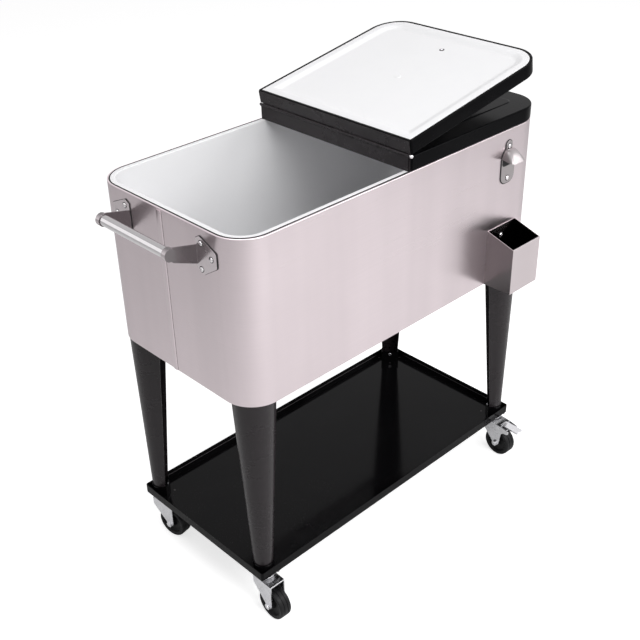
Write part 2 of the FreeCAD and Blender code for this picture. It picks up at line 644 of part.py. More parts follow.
def make_handle_bracket(label, end, side):
    """A bent sheet: a riveted foot on the wall, an arm standing out, and a cup around the tube's end."""
    body = new_body(label)
    wall = "tub_length / 2"
    inner = "bracket_bend - bracket_sheet"
    foot = [
        (f"{side} * ({inner})", "handle_height + bracket_foot_top - 6"),
        (f"{side} * (bracket_bend + 8)", "handle_height + bracket_foot_top", "5"),
        (f"{side} * (bracket_bend + bracket_foot_reach)", "handle_height - 2", "6"),
        (f"{side} * (bracket_bend + bracket_foot_reach)", "handle_height - 28", "6"),
        (f"{side} * (bracket_bend + 13)", "handle_height - bracket_foot_low", "6"),
        (f"{side} * ({inner})", "handle_height - bracket_foot_low + 9"),
    ]
    foot_middle = f"{end} * ({wall} + bracket_sheet / 2)"
    pad(body, "YZ_Plane", foot_middle, "bracket_sheet", foot)
    axis_x = f"{wall} + handle_reach"
    arm = [
        (f"{end} * ({wall})", "handle_height - arm_root_low"),
        (f"{end} * ({wall})", "handle_height - arm_root_top"),
        (f"{end} * ({axis_x})", "handle_height + cup_radius"),
        (f"{end} * ({axis_x})", "handle_height - cup_radius"),
        (f"{end} * ({axis_x} - 7)", "handle_height - arm_tip_low", "5"),
    ]
    arm_middle = f"{side} * (bracket_bend - bracket_sheet / 2)"
    pad(body, "XZ_Plane", arm_middle, "bracket_sheet", arm)
    cup_end = "handle_half_length + bracket_sheet"
    cup_middle = f"{side} * ({cup_end} - cup_depth / 2)"
    cup = (f"{end} * ({axis_x})", "handle_height", "cup_radius")
    pad(body, "XZ_Plane", cup_middle, "cup_depth", cup)
    bore = (f"{end} * ({axis_x})", "handle_height", "handle_tube_radius + cup_play")
    cut(body, "XZ_Plane", "0", "2 * handle_half_length", bore)
    hole = "rivet_shank_radius + rivet_play"
    holes = [(f"{side} * ({y})", z, hole) for y, z in HANDLE_RIVETS]
    cut(body, "YZ_Plane", foot_middle, "2 * bracket_sheet", *holes)
    stand_in_cart(body)


def domed_fastener(point, way, shank_radius, shank_length, head_radius, head_height):
    """A round-headed fastener: its head stands on point towards way, its shank runs back from it."""
    sphere_radius = (head_radius ** 2 + head_height ** 2) / (2 * head_height)
    middle = sphere_radius * math.sin(math.asin(head_radius / sphere_radius) / 2)
    rise = math.sqrt(sphere_radius ** 2 - middle ** 2) - (sphere_radius - head_height)
    foot, root = Vector(0, 0, -shank_length), Vector(shank_radius, 0, -shank_length)
    neck, edge, peak = Vector(shank_radius, 0, 0), Vector(head_radius, 0, 0), Vector(0, 0, head_height)
    dome = Part.Arc(edge, Vector(middle, 0, rise), peak).toShape()
    lines = [Part.makeLine(*ends) for ends in ((peak, foot), (foot, root), (root, neck), (neck, edge))]
    profile = Part.Face(Part.Wire(lines + [dome]))
    fastener = profile.revolve(Vector(0, 0, 0), Vector(0, 0, 1), 360)
    fastener.Placement = Placement(point, Rotation(Vector(0, 0, 1), way))
    return fastener


def make_handle_rivets():
    """Three rivets for each handle bracket."""
    grip = number("bracket_sheet + shell_wall")
    centre_y = number(CENTRE_Y)
    solids = []
    for end in (-1, 1):
        for side in (-1, 1):
            for y, z in HANDLE_RIVETS:
                x = end * number("tub_length / 2 + bracket_sheet")
                point = Vector(x, centre_y + side * number(y), number(z))
                head_radius, head_height = number("rivet_head_radius"), number("rivet_head_height")
                shank = number("rivet_shank_radius")
                solids.append(domed_fastener(point, Vector(end, 0, 0), shank, grip, head_radius, head_height))
    new_group("handle_rivets", solids)


# ---------------------------------------------------------------- front face
def make_bottle_opener():
    """A pressed wall opener: a plate with a round ear above, and an arched hood with a tooth inside."""
    body = new_body("bottle_opener")
    bottom = "(opener_top - opener_height)"
    plate = [
        ("opener_centre - opener_ear", "opener_top", "opener_ear - 0.5"),
        ("opener_centre + opener_ear", "opener_top", "opener_ear - 0.5"),
        ("opener_centre + opener_ear", "opener_top - hood_top_drop + 2", "4"),
        ("opener_centre + opener_half_width", "opener_top - shoulder_drop", "4"),
        ("opener_centre + opener_half_width", bottom, "opener_half_width - 4"),
        ("opener_centre - opener_half_width", bottom, "opener_half_width - 4"),
        ("opener_centre - opener_half_width", "opener_top - shoulder_drop", "4"),
        ("opener_centre - opener_ear", "opener_top - hood_top_drop + 2", "4"),
    ]
    pad(body, "XZ_Plane", f"{FRONT} - opener_sheet / 2", "opener_sheet", plate)

    def mouth(half_width, reach, corner, inset):
        """A level section of the hood, open towards the wall."""
        wall = f"({FRONT} - opener_sheet / 2 - {inset} / 2)"
        nose = f"{FRONT} - {reach} + {inset}"
        return [
            (f"opener_centre - {half_width} + {inset}", wall),
            (f"opener_centre - {half_width} + {inset}", nose, corner),
            (f"opener_centre + {half_width} - {inset}", nose, corner),
            (f"opener_centre + {half_width} - {inset}", wall),
        ]

    root = "(opener_top - hood_top_drop)"
    lip, waist = f"({root} - hood_height)", f"({root} - hood_waist_drop)"
    outside = (
        (lip, mouth("hood_half_width", "hood_reach", "9", "0")),
        (waist, mouth("hood_waist_half_width", "hood_waist_reach", "7", "0")),
        (root, mouth("(opener_ear - 1)", "(opener_sheet + 4)", "3", "0")),
    )
    inside = (
        (f"{lip} - 0.01", mouth("hood_half_width", "hood_reach", "7.5", "opener_sheet")),
        (waist, mouth("hood_waist_half_width", "hood_waist_reach", "5.5", "opener_sheet")),
        (f"{root} - 2 * opener_sheet",
         mouth("(opener_ear + 2)", "(opener_sheet + 7)", "2", "opener_sheet")),
    )
    for kind, levels in (("AdditiveLoft", outside), ("SubtractiveLoft", inside)):
        for low, high in zip(levels, levels[1:]):
            loft(body, f"PartDesign::{kind}", *low, *high)
    tooth = rectangle("tooth_width", "tooth_height", None, "opener_centre", f"{lip} + tooth_rise")
    tooth_middle = f"{FRONT} - opener_sheet / 2 - tooth_reach / 2"
    pad(body, "XZ_Plane", tooth_middle, "tooth_reach", tooth)
    holes = [("opener_centre", z, "face_screw_radius + rivet_play") for z in OPENER_SCREWS]
    cut(body, "XZ_Plane", f"{FRONT} - opener_sheet / 2", "2 * opener_sheet", *holes)
    stand_in_cart(body)


def make_cap_catcher():
    """An open sheet box whose upper edge slopes down away from the wall."""
    body = new_body("cap_catcher")
    profile = [
        (FRONT, "tub_base"),
        (FRONT, "tub_base + catcher_back_height"),
        (f"{FRONT} - catcher_depth", "tub_base + catcher_front_height"),
        (f"{FRONT} - catcher_depth", "tub_base"),
    ]
    pad(body, "YZ_Plane", "catcher_centre", "catcher_width", profile)
    inside = rectangle("catcher_width - 2 * catcher_sheet", "catcher_depth - 2 * catcher_sheet", "2",
                       "catcher_centre", f"{FRONT} - catcher_depth / 2")
    middle = "tub_base + catcher_sheet + catcher_back_height"
    cut(body, "XY_Plane", middle, "2 * catcher_back_height", inside)
    hole = ("catcher_centre", CATCHER_SCREW, "face_screw_radius + rivet_play")
    cut(body, "XZ_Plane", FRONT, "4 * catcher_sheet", hole)
    stand_in_cart(body)


def make_face_screws():
    """The opener's two screws and the catcher's one."""
    radius, head_radius = number("face_screw_radius"), number("face_head_radius")
    head_height = number("face_head_height")
    seats = [("opener_centre", z, "opener_sheet") for z in OPENER_SCREWS]
    seats.append(("catcher_centre", CATCHER_SCREW, "catcher_sheet"))
    solids = []
    for x, z, sheet_name in seats:
        y = number(f"{CENTRE_Y} - tub_width / 2 - {sheet_name}")
        grip = number(f"{sheet_name} + shell_wall")
        point = Vector(number(x), y, number(z))
        solids.append(domed_fastener(point, Vector(0, -1, 0), radius, grip, head_radius, head_height))
    new_group("face_screws", solids)


# ---------------------------------------------------------------- legs and shelf
CORNERS = {
    "front_left": (-1, -1),
    "front_right": (1, -1),
    "rear_left": (-1, 1),
    "rear_right": (1, 1),
}
SHELF_FLOOR = "(caster_height + tray_sheet)"
LEG_SPAN = f"({PAN_UNDERSIDE} - {SHELF_FLOOR})"
LEG_BOLT_REACH = "(leg_top_reach - leg_top_radius)"


def leg_size(name, rise):
    """A leg's reach, radius or depth, each of which tapers, at a rise above the shelf's floor."""
    return f"(leg_foot_{name} + (leg_top_{name} - leg_foot_{name}) * ({rise}) / {LEG_SPAN})"


# The foot screw runs outwards from the back of a socket and ends inside the socket's nose.
SCREW_REACH = leg_size("reach", "foot_screw_height")
LEG_BACK = f"({leg_size('reach', 'socket_height')} - {leg_size('depth', 'socket_height')})"
SCREW_SEAT = f"({LEG_BACK} - socket_play - tray_sheet)"
SCREW_END = f"({SCREW_REACH} + socket_play + tray_sheet / 2)"


def nosed_outline(rise, growth):
    """A leg's outside, grown all round by growth: a rounded nose towards +X and a straight back."""
    tip = f"({leg_size('reach', rise)} + {growth})"
    radius = f"({leg_size('radius', rise)} + {growth})"
    back = f"({leg_size('reach', rise)} - {leg_size('depth', rise)} - {growth})"
    corners = [
        (back, f"-{radius}"),
        (f"{tip} - {radius}", f"-{radius}"),
        (tip, "0"),
        (f"{tip} - {radius}", radius),
        (back, radius),
    ]
    return corners, {1: radius, 2: radius}


def leg_section(rise):
    """A leg's section: a U of bent sheet whose nose points towards +X and whose back is open."""
    outer, bends = nosed_outline(rise, "0")
    inner, inner_bends = nosed_outline(rise, "(-leg_sheet)")
    back = outer[0][0]
    loop = outer + [(back, inner[4][1])] + inner[3:0:-1] + [(back, inner[0][1])]
    inward = f"-{inner_bends[1]}"
    return loop, {**bends, 6: inward, 7: inward}


def corner_angle(sign_x, sign_y):
    """The direction from the tub's middle to one of its corners, as a turn about Z."""
    return math.degrees(math.atan2(sign_y, sign_x))


def beside_leg(along, aside, sign_x, sign_y):
    """A place along and aside from a leg's guide point, seen outwards, about the tub's middle."""
    x = f"({sign_x} * ({along}) - {sign_y} * ({aside})) / sqrt(2)"
    y = f"({sign_y} * ({along}) + {sign_x} * ({aside})) / sqrt(2)"
    return (f"{sign_x} * (tub_length / 2 - leg_inset) + {x}",
            f"{sign_y} * (tub_width / 2 - leg_inset) + {y}")


def stand_at_leg(item, sign_x, sign_y):
    """Place a piece, drawn about a leg's guide point with +X outwards, at its corner."""
    x = f"{sign_x} * (tub_length / 2 - leg_inset)"
    y = f"{CENTRE_Y} + {sign_y} * (tub_width / 2 - leg_inset)"
    place(item, x, y, "0", (0, 0, 1), corner_angle(sign_x, sign_y))


def make_leg(label, sign_x, sign_y):
    """A tapered leg, open towards the cart's middle, with a cap that bolts to the bottom pan."""
    body = new_body(label)
    loft(body, "PartDesign::AdditiveLoft", SHELF_FLOOR, leg_section("0"),
         PAN_UNDERSIDE, leg_section(LEG_SPAN))
    cap = nosed_outline(LEG_SPAN, "(-leg_sheet / 2)")
    pad(body, "XY_Plane", f"{PAN_UNDERSIDE} - leg_sheet / 2", "leg_sheet", cap)
    hole = "leg_bolt_radius + rivet_play"
    holes = [(LEG_BOLT_REACH, f"{side} * leg_bolt_spread", hole) for side in (-1, 1)]
    cut(body, "XY_Plane", PAN_UNDERSIDE, "4 * leg_sheet", *holes)
    foot_hole = ("0", f"{SHELF_FLOOR} + foot_screw_height", hole)
    cut(body, "YZ_Plane", SCREW_REACH, "4 * leg_sheet", foot_hole)
    stand_at_leg(body, sign_x, sign_y)


def leg_bolt(point, grip):
    """A hexagon-headed bolt that runs up from point, with its head below it."""
    head = prism(6, number("leg_bolt_head_radius"), number("leg_bolt_head_height"))
    shank = Part.makeCylinder(number("leg_bolt_radius"), grip, Vector(0, 0, -grip))
    bolt = head.fuse(shank).removeSplitter().Solids[0]
    bolt.Placement = Placement(point, Rotation(Vector(0, 0, 1), Vector(0, 0, -1)))
    return bolt


def prism(sides, radius, height, base=0.0):
    """An upright prism about Z."""
    corners = []
    for side in range(sides + 1):
        turned = 2 * math.pi * side / sides
        corners.append(Vector(radius * math.cos(turned), radius * math.sin(turned), base))
    return Part.Face(Part.makePolygon(corners)).extrude(Vector(0, 0, height))


def make_leg_screws():
    """For each leg, two bolts up into the bottom pan and one screw through its foot's socket."""
    solids = []
    reach = number(LEG_BOLT_REACH)
    spread = number("leg_bolt_spread")
    tab_under = number(f"{PAN_UNDERSIDE} - leg_sheet")
    seat = number(SCREW_SEAT)
    grip = number(f"{SCREW_END} - rivet_play") - seat
    height = number(f"{SHELF_FLOOR} + foot_screw_height")
    head_radius, head_height = number("leg_bolt_head_radius"), number("leg_bolt_head_height")
    radius = number("leg_bolt_radius")
    for sign_x, sign_y in CORNERS.values():
        x = sign_x * number("tub_length / 2 - leg_inset")
        y = number(CENTRE_Y) + sign_y * number("tub_width / 2 - leg_inset")
        turned = Rotation(Vector(0, 0, 1), corner_angle(sign_x, sign_y))
        frame = Placement(Vector(x, y, 0), turned)
        for side in (-1, 1):
            point = frame.multVec(Vector(reach, side * spread, tab_under))
            solids.append(leg_bolt(point, number("leg_sheet + pan_thickness")))
        point = frame.multVec(Vector(seat, 0, height))
        inward = turned.multVec(Vector(-1, 0, 0))
        solids.append(domed_fastener(point, inward, radius, grip, head_radius, head_height))
    new_group("leg_screws", solids)


def caster_places():
    """The swivel axes about the tub's middle, by corner."""
    x = "(tray_length / 2 - caster_inset_length)"
    y = "(tray_width / 2 - caster_inset_width)"
    return {name: (f"{sx} * {x}", f"{sy} * {y}") for name, (sx, sy) in CORNERS.items()}


def plate_holes(x, y, radius):
    """The four holes of a caster's top plate about x, y."""
    half = "caster_hole_spacing / 2"
    signs = ((-1, -1), (1, -1), (1, 1), (-1, 1))
    return [(f"{x} + {sx} * {half}", f"{y} + {sy} * {half}", radius) for sx, sy in signs]


def make_shelf_tray():
    """The lower shelf: a pressed tray with an upright lip and a socket round each leg's foot."""
    body = new_body("shelf_tray")
    outline = rectangle("tray_length", "tray_width", "tray_corner")
    inner = rectangle("tray_length - 2 * tray_sheet", "tray_width - 2 * tray_sheet",
                      "tray_corner - tray_sheet")
    pad(body, "XY_Plane", "caster_height + tray_sheet / 2", "tray_sheet", outline)
    pad(body, "XY_Plane", "caster_height + tray_lip / 2", "tray_lip", outline, inner)
    for signs in CORNERS.values():
        add_socket(body, *signs)
        middle, length = f"({SCREW_SEAT} + {SCREW_END}) / 2 - tray_sheet", f"{SCREW_END} - {SCREW_SEAT}"
        x, y = beside_leg(middle, "0", *signs)
        screw = ("0", "0", "leg_bolt_radius + rivet_play")
        cut(body, "YZ_Plane", x, f"{length} + 2 * tray_sheet", screw, across=y,
            up=f"{SHELF_FLOOR} + foot_screw_height", turned=corner_angle(*signs))
    holes = []
    for x, y in caster_places().values():
        holes.extend(plate_holes(x, y, "caster_bolt_radius + rivet_play"))
    cut(body, "XY_Plane", "caster_height", "4 * tray_sheet", *holes)
    stand_in_cart(body)


def socket_outline(rise, growth, sign_x, sign_y):
    """A leg's outside at a rise, grown by growth, in its place about the tub's middle."""
    corners, bends = nosed_outline(rise, growth)
    return [beside_leg(along, aside, sign_x, sign_y) for along, aside in corners], bends


def add_socket(body, sign_x, sign_y):
    """A socket for a leg's foot: upright outside, which leaves the floor round it free, tapered inside."""
    growth = "(socket_play + tray_sheet)"
    outside = socket_outline("socket_height", growth, sign_x, sign_y)
    middle = f"{SHELF_FLOOR} + socket_height / 2 - tray_sheet / 4"
    pad(body, "XY_Plane", middle, "socket_height + tray_sheet / 2", outside)
    inside = [socket_outline(rise, "socket_play", sign_x, sign_y) for rise in ("0", "socket_height")]
    loft(body, "PartDesign::SubtractiveLoft", SHELF_FLOOR, inside[0],
         f"{SHELF_FLOOR} + socket_height", inside[1])


# ---------------------------------------------------------------- casters
# A caster is drawn about its swivel axis, with its origin on the shelf's underside and +X towards
# the trailing wheel.
CROWN_TOP = "(-caster_plate_thickness - raceway_height - swivel_play)"
CROWN_LOW = f"({CROWN_TOP} - crown_thickness)"
AXLE_DROP = "(caster_height - wheel_radius)"
SLOT_HALF = "(fork_width / 2 - fork_sheet)"
BRAKED = ("front_right", "rear_right")


def stand_at_caster(item, corner, swivelled=True):
    """Place a caster's piece at its corner, turned to where its wheel trails."""
    x, y = caster_places()[corner]
    angle = number(f"{corner}_trail") if swivelled else 0.0
    place(item, x, f"{CENTRE_Y} + {y}", "caster_height", (0, 0, 1), angle)


def make_caster_plate(corner):
    """The fixed top plate, with the bearing race and the riveted kingpin under it."""
    body = new_body(f"{corner}_caster_plate")
    plate = rectangle("caster_plate_size", "caster_plate_size", "4")
    holes = plate_holes("0", "0", "caster_bolt_radius + rivet_play")
    middle = "-caster_plate_thickness / 2"
    pad(body, "XY_Plane", middle, "caster_plate_thickness", plate, *holes)
    race_end = "(caster_plate_thickness + raceway_height)"
    head_top = f"({CROWN_LOW} - swivel_play)"
    turn(body, "XZ_Plane", "V_Axis", [
        ("0", "-caster_plate_thickness / 2"),
        ("raceway_radius", "-caster_plate_thickness / 2"),
        ("raceway_radius", f"-{race_end}", "1.5"),
        ("kingpin_radius", f"-{race_end}"),
        ("kingpin_radius", head_top),
        ("kingpin_head_radius", head_top),
        ("kingpin_head_radius", f"{head_top} - kingpin_head_height", "1"),
        ("0", f"{head_top} - kingpin_head_height"),
    ])
    stand_at_caster(body, corner, swivelled=False)


def make_caster_fork(corner):
    """The swivelling fork: a domed crown and two cheeks that narrow to rounded ends at the axle.

    A fork with a brake is open above the wheel's far half, where its cheeks carry the pedal between
    two arms; the crown of a plain fork covers that half too.
    """
    body = new_body(f"{corner}_caster_fork")
    braked = corner in BRAKED
    crown_face = f"{CROWN_TOP} - crown_thickness + fork_sheet"
    foot_front = "caster_trail + cheek_foot_width"
    if braked:
        front = [
            ("pedal_pivot_reach + 3", f"{crown_face} - 2", "4"),
            ("arm_reach", "-arm_top_drop", "2"),
            ("arm_reach - 1", "-arm_low_drop", "3"),
            (f"{foot_front} + 5", "-arm_low_drop - 3", "10"),
        ]
    else:
        front = [(foot_front, crown_face, "1.5")]
    cheek = [
        ("-cheek_front", crown_face),
        *front,
        (foot_front, f"-{AXLE_DROP} + 3", "3"),
        ("caster_trail", f"-{AXLE_DROP} - cheek_foot", "8"),
        ("caster_trail - cheek_foot_width", f"-{AXLE_DROP} + 3", "3"),
        ("-cheek_front", f"{CROWN_LOW} - cheek_shoulder", "6"),
    ]
    pad(body, "XZ_Plane", "0", "fork_width", cheek)
    slot_low = f"(-{AXLE_DROP} - wheel_radius)"
    slot_end = "2 * pedal_reach"
    notch = [(slot_end, "0"), ("crown_radius - 1", "0"), ("crown_radius - 1", CROWN_LOW)]
    slot = [
        (f"-{slot_end}", slot_low),
        (slot_end, slot_low),
        *(notch if braked else [(slot_end, CROWN_LOW)]),
        (f"-{slot_end}", CROWN_LOW),
    ]
    cut(body, "XZ_Plane", "0", f"2 * {SLOT_HALF}", slot)
    turn(body, "XZ_Plane", "V_Axis", [
        ("0", CROWN_LOW),
        ("crown_radius - 2", CROWN_LOW, "1"),
        ("crown_radius", f"{CROWN_TOP} - 1.5"),
        ("crown_radius", CROWN_TOP, "0.8"),
        ("0", CROWN_TOP),
    ])
    kingpin = ("0", "0", "kingpin_radius + running_play")
    cut(body, "XY_Plane", f"({CROWN_TOP} + {CROWN_LOW}) / 2", "2 * crown_thickness", kingpin)
    axle = ("caster_trail", f"-{AXLE_DROP}", "axle_radius + rivet_play")
    pivot = ("pedal_pivot_reach", "-pedal_pivot_drop", "pedal_pivot_radius + running_play")
    cut(body, "XZ_Plane", "0", "2 * fork_width", *([axle, pivot] if braked else [axle]))
    stand_at_caster(body, corner)


def make_axle(corner):
    """A bolt through fork and wheel, with a hexagon head and nut outside the cheeks."""
    body = new_body(f"{corner}_axle")
    shaft = ("caster_trail", f"-{AXLE_DROP}", "axle_radius")
    pad(body, "XZ_Plane", "0", "fork_width + 2 * axle_head_height + 2 * axle_end_reach", shaft)
    head = hexagon("axle_head_radius", "caster_trail", f"-{AXLE_DROP}")
    for side in (-1, 1):
        middle = f"{side} * (fork_width + axle_head_height) / 2"
        pad(body, "XZ_Plane", middle, "axle_head_height", head)
    stand_at_caster(body, corner)


def make_wheel(corner):
    """A moulded wheel: a hub, a thin web and a rim whose tread has two ribs round it."""
    body = new_body(f"{corner}_wheel")
    hub = f"({SLOT_HALF} - hub_play)"
    half = "(wheel_width / 2)"
    rim = "(wheel_radius - rim_depth)"
    loop = [
        (f"-{hub}", "axle_radius + running_play"),
        (hub, "axle_radius + running_play"),
        (hub, "hub_radius", "1"),
        ("web_half_width", "hub_radius + 2", "1.5"),
        ("web_half_width", f"{rim} - 2", "1.5"),
        (f"{half} - 1", rim, "1"),
        (half, "wheel_radius - 3", "1.5"),
        (f"{half} - 3", "wheel_radius", "2"),
        ("tread_groove + 0.8", "wheel_radius"),
        ("tread_groove", "wheel_radius - 1.2"),
        ("-tread_groove", "wheel_radius - 1.2"),
        ("-tread_groove - 0.8", "wheel_radius"),
        (f"-{half} + 3", "wheel_radius", "2"),
        (f"-{half}", "wheel_radius - 3", "1.5"),
        (f"-{half} + 1", rim, "1"),
        ("-web_half_width", f"{rim} - 2", "1.5"),
        ("-web_half_width", "hub_radius + 2", "1.5"),
        (f"-{hub}", "hub_radius", "1"),
    ]
    turn(body, "YZ_Plane", "H_Axis", loop, up=f"-{AXLE_DROP}", normal="caster_trail")
    stand_at_caster(body, corner)


def make_brake_pedal(corner):
    """A pressed pedal on a cross pin in the fork, with a shoe above the tread."""
    body = new_body(f"{corner}_brake_pedal")
    top = "-pedal_top_drop"
    side_view = [
        ("pedal_pivot_reach - 4.5", "-pedal_pivot_drop - 4", "3"),
        ("pedal_pivot_reach - 4.5", "-pedal_pivot_drop + 4", "3"),
        ("pedal_pivot_reach + 8", top, "4"),
        ("pedal_reach", top, "1"),
        ("pedal_reach", "-pedal_top_drop - 4", "2"),
        ("pedal_pivot_reach + 18", "-pedal_top_drop - 4", "6"),
        ("pedal_pivot_reach + 9", "-pedal_pivot_drop - 9", "2"),
    ]
    pad(body, "XZ_Plane", "0", "pedal_width", side_view)
    hollow = rectangle("2 * pedal_reach", "pedal_width - 2 * pedal_sheet", None, "pedal_reach", "0")
    low = "-pedal_top_drop - pedal_sheet"
    cut(body, "XY_Plane", f"{low} - 2 * pedal_pivot_drop", "4 * pedal_pivot_drop", hollow)
    shoe = [
        ("pedal_pivot_reach + 5", "-pedal_top_drop - 0.5"),
        ("pedal_pivot_reach + 7", "-pedal_top_drop - 0.5"),
        ("pedal_pivot_reach + 9", "-pedal_pivot_drop - 13", "0.5"),
        ("pedal_pivot_reach + 7", "-pedal_pivot_drop - 13", "0.5"),
    ]
    pad(body, "XZ_Plane", "0", "pedal_width - 0.5", shoe)
    pin = ("pedal_pivot_reach", "-pedal_pivot_drop", "pedal_pivot_radius")
    pad(body, "XZ_Plane", "0", "fork_width", pin)
    stand_at_caster(body, corner)


def make_caster_bolts():
    """Four bolts for each caster: flush with the shelf's floor above, nuts under the top plate."""
    solids = []
    radius, nut_radius = number("caster_bolt_radius"), number("caster_nut_radius")
    nut_height = number("caster_nut_height")
    top = number(SHELF_FLOOR)
    under = number("caster_height - caster_plate_thickness")
    for x, y in caster_places().values():
        for hole_x, hole_y, hole in plate_holes(x, y, "caster_bolt_radius"):
            base = Vector(number(hole_x), number(f"{CENTRE_Y} + {hole_y}"), 0)
            shank = Part.makeCylinder(radius, top - under + nut_height + 0.5,
                                      base + Vector(0, 0, under - nut_height - 0.5))
            nut = prism(6, nut_radius, nut_height, under - nut_height)
            nut.translate(base)
            solids.append(shank.fuse(nut).removeSplitter().Solids[0])
    new_group("caster_bolts", solids)


# ---------------------------------------------------------------- lids
# A lid is drawn closed, about the hinge axis, with +X towards its free edge.
LID_TOP = "(-hinge_rise)"
LID_LOW = "(-hinge_rise - lid_skirt)"
LID_END = "(tub_length / 2)"
HINGE_HEIGHT = f"({RIM} + lid_lift + lid_skirt + hinge_rise)"
PAN_LOW = f"({LID_LOW} + under_pan_recess)"


def fold_angle():
    """How far the left lid turns from closed until its knob lies on the right lid's knob."""
    half_wedge = math.atan2(number("knob_height + knob_touch"), number("knob_distance"))
    return 180 - math.degrees(2 * half_wedge)


def lid_outline(inset):
    """A lid's outline, drawn in by inset, with tighter corners at the hinge."""
    near, far = f"lid_gap + {inset}", f"{LID_END} - {inset}"
    side = f"(tub_width / 2 - {inset})"
    outer = f"lid_corner - {inset}"
    return [
        (near, f"-{side}", "lid_inner_corner"),
        (far, f"-{side}", outer),
        (far, side, outer),
        (near, side, "lid_inner_corner"),
    ]


def stand_on_hinge(item, lid):
    """Place a lid's piece: the right lid is closed, the left one folded back over it."""
    if lid == "right":
        place(item, "0", CENTRE_Y, HINGE_HEIGHT)
        return
    half = math.radians(fold_angle() / 2)
    place(item, "0", CENTRE_Y, HINGE_HEIGHT, (math.sin(half), 0, math.cos(half)), 180)


def make_lid_cover(lid):
    """The black cover: a flat top with a raised panel, and a skirt all round."""
    body = new_body(f"{lid}_lid_cover")
    pad(body, "XY_Plane", f"({LID_TOP} + {LID_LOW}) / 2", "lid_skirt", lid_outline("0"))
    top_edge = number(LID_TOP)
    round_edges(body, "0.8 * lid_sheet", lambda edge: lies_at(edge, top_edge))
    inside = lid_outline("lid_sheet")
    cut(body, "XY_Plane", f"{LID_LOW} - lid_sheet", "2 * lid_skirt", inside)
    panel = rectangle(f"{LID_END} - lid_gap - 2 * panel_inset", "tub_width - 2 * panel_inset", "18",
                      f"({LID_END} + lid_gap) / 2")
    pad(body, "XY_Plane", f"{LID_TOP} + panel_height / 2 - 0.25", "panel_height + 0.5", panel)
    hole = ("knob_distance", "0", "knob_screw_radius + rivet_play")
    cut(body, "XY_Plane", LID_TOP, "4 * panel_height + 4 * lid_sheet", hole)
    stand_on_hinge(body, lid)


def make_lid_under_pan(lid):
    """The white under-pan: a flat border and a slope down to a recessed panel."""
    body = new_body(f"{lid}_lid_under_pan")
    edge = "(lid_sheet + lid_play)"
    middle = f"{LID_LOW} + under_pan_depth / 2"
    pad(body, "XY_Plane", middle, "under_pan_depth", lid_outline(edge))
    border = f"({edge} + under_pan_border)"
    loft(body, "PartDesign::SubtractiveLoft", f"{LID_LOW} - 0.01", lid_outline(border),
         PAN_LOW, lid_outline(f"({border} + under_pan_slope)"))
    screw = ("knob_distance", "0", "knob_screw_radius + rivet_play")
    plug = ("foam_plug_distance", "0", "foam_plug_radius + rivet_play")
    cut(body, "XY_Plane", middle, "2 * under_pan_depth", screw, plug)
    stand_on_hinge(body, lid)


def make_lid_foam(lid):
    """The foam core between cover and under-pan."""
    body = new_body(f"{lid}_lid_foam")
    low = f"({LID_LOW} + under_pan_depth + lid_play)"
    high = f"({LID_TOP} - lid_sheet - lid_play)"
    outline = lid_outline("(lid_sheet + 2 * lid_play)")
    pad(body, "XY_Plane", f"({low} + {high}) / 2", f"{high} - {low}", outline)
    hole = ("knob_distance", "0", "knob_screw_radius + rivet_play")
    cut(body, "XY_Plane", low, "4 * lid_skirt", hole)
    stand_on_hinge(body, lid)


def make_lid_knob(lid):
    """A turned knob on the raised panel, with a blind hole for its screw."""
    body = new_body(f"{lid}_lid_knob")
    seat = f"({LID_TOP} + panel_height)"
    top = f"({seat} + knob_height)"
    dome = "knob_head_radius * knob_head_radius / 80"
    hole = "knob_screw_radius + rivet_play"
    turn(body, "XZ_Plane", "V_Axis", [
        (hole, seat),
        ("knob_base_radius", seat),
        ("knob_base_radius", f"{seat} + 2.5", "1.5"),
        ("knob_neck_radius", f"{seat} + 6", "4"),
        ("knob_neck_radius", f"{top} - knob_head_depth", "2"),
        ("knob_head_radius", f"{top} - knob_head_depth + 2", "1.5"),
        ("knob_head_radius", f"{top} - {dome} - 0.6", "1.2"),
        ("knob_head_radius / 3", top),
        ("0", top),
        ("0", f"{seat} + knob_screw_grip + 0.4"),
        (hole, f"{seat} + knob_screw_grip + 0.4"),
    ], across="knob_distance")
    stand_on_hinge(body, lid)


def make_knob_screw(lid):
    """The screw that holds the knob, from the under-pan up through the whole lid."""
    body = new_body(f"{lid}_knob_screw")
    end = f"({LID_TOP} + panel_height + knob_screw_grip)"
    turn(body, "XZ_Plane", "V_Axis", [
        ("0", f"{PAN_LOW} - knob_screw_head_height"),
        ("knob_screw_head_radius", f"{PAN_LOW} - knob_screw_head_height", "1.2"),
        ("knob_screw_head_radius", PAN_LOW),
        ("knob_screw_radius", PAN_LOW),
        ("knob_screw_radius", end),
        ("0", end),
    ], across="knob_distance")
    stand_on_hinge(body, lid)


def make_foam_plug(lid):
    """The cap in the hole through which the lid is foamed."""
    body = new_body(f"{lid}_foam_plug")
    top = f"({LID_LOW} + under_pan_depth)"
    turn(body, "XZ_Plane", "V_Axis", [
        ("0", f"{PAN_LOW} - 0.6"),
        ("foam_plug_radius", f"{PAN_LOW} - 0.6", "0.4"),
        ("foam_plug_radius", top),
        ("0", top),
    ], across="foam_plug_distance")
    stand_on_hinge(body, lid)


# ---------------------------------------------------------------- lid hinge
# Three kinds of knuckle share one pin: the bridge's short ones at the ends and in the middle, and
# between them one long knuckle of each leaf. A half turn about Z swaps the two leaves' places.
LONG_KNUCKLE = "((hinge_length - 3 * bridge_knuckle) / 4)"
FIRST_LEAF_MIDDLE = f"(-hinge_length / 2 + bridge_knuckle + {LONG_KNUCKLE} / 2)"
SECOND_LEAF_MIDDLE = f"(bridge_knuckle / 2 + {LONG_KNUCKLE} / 2)"
WEB_TOP = "(-knuckle_radius - knuckle_play)"
LEAF_MIDDLE = "(lid_gap - leaf_play - leaf_sheet / 2)"


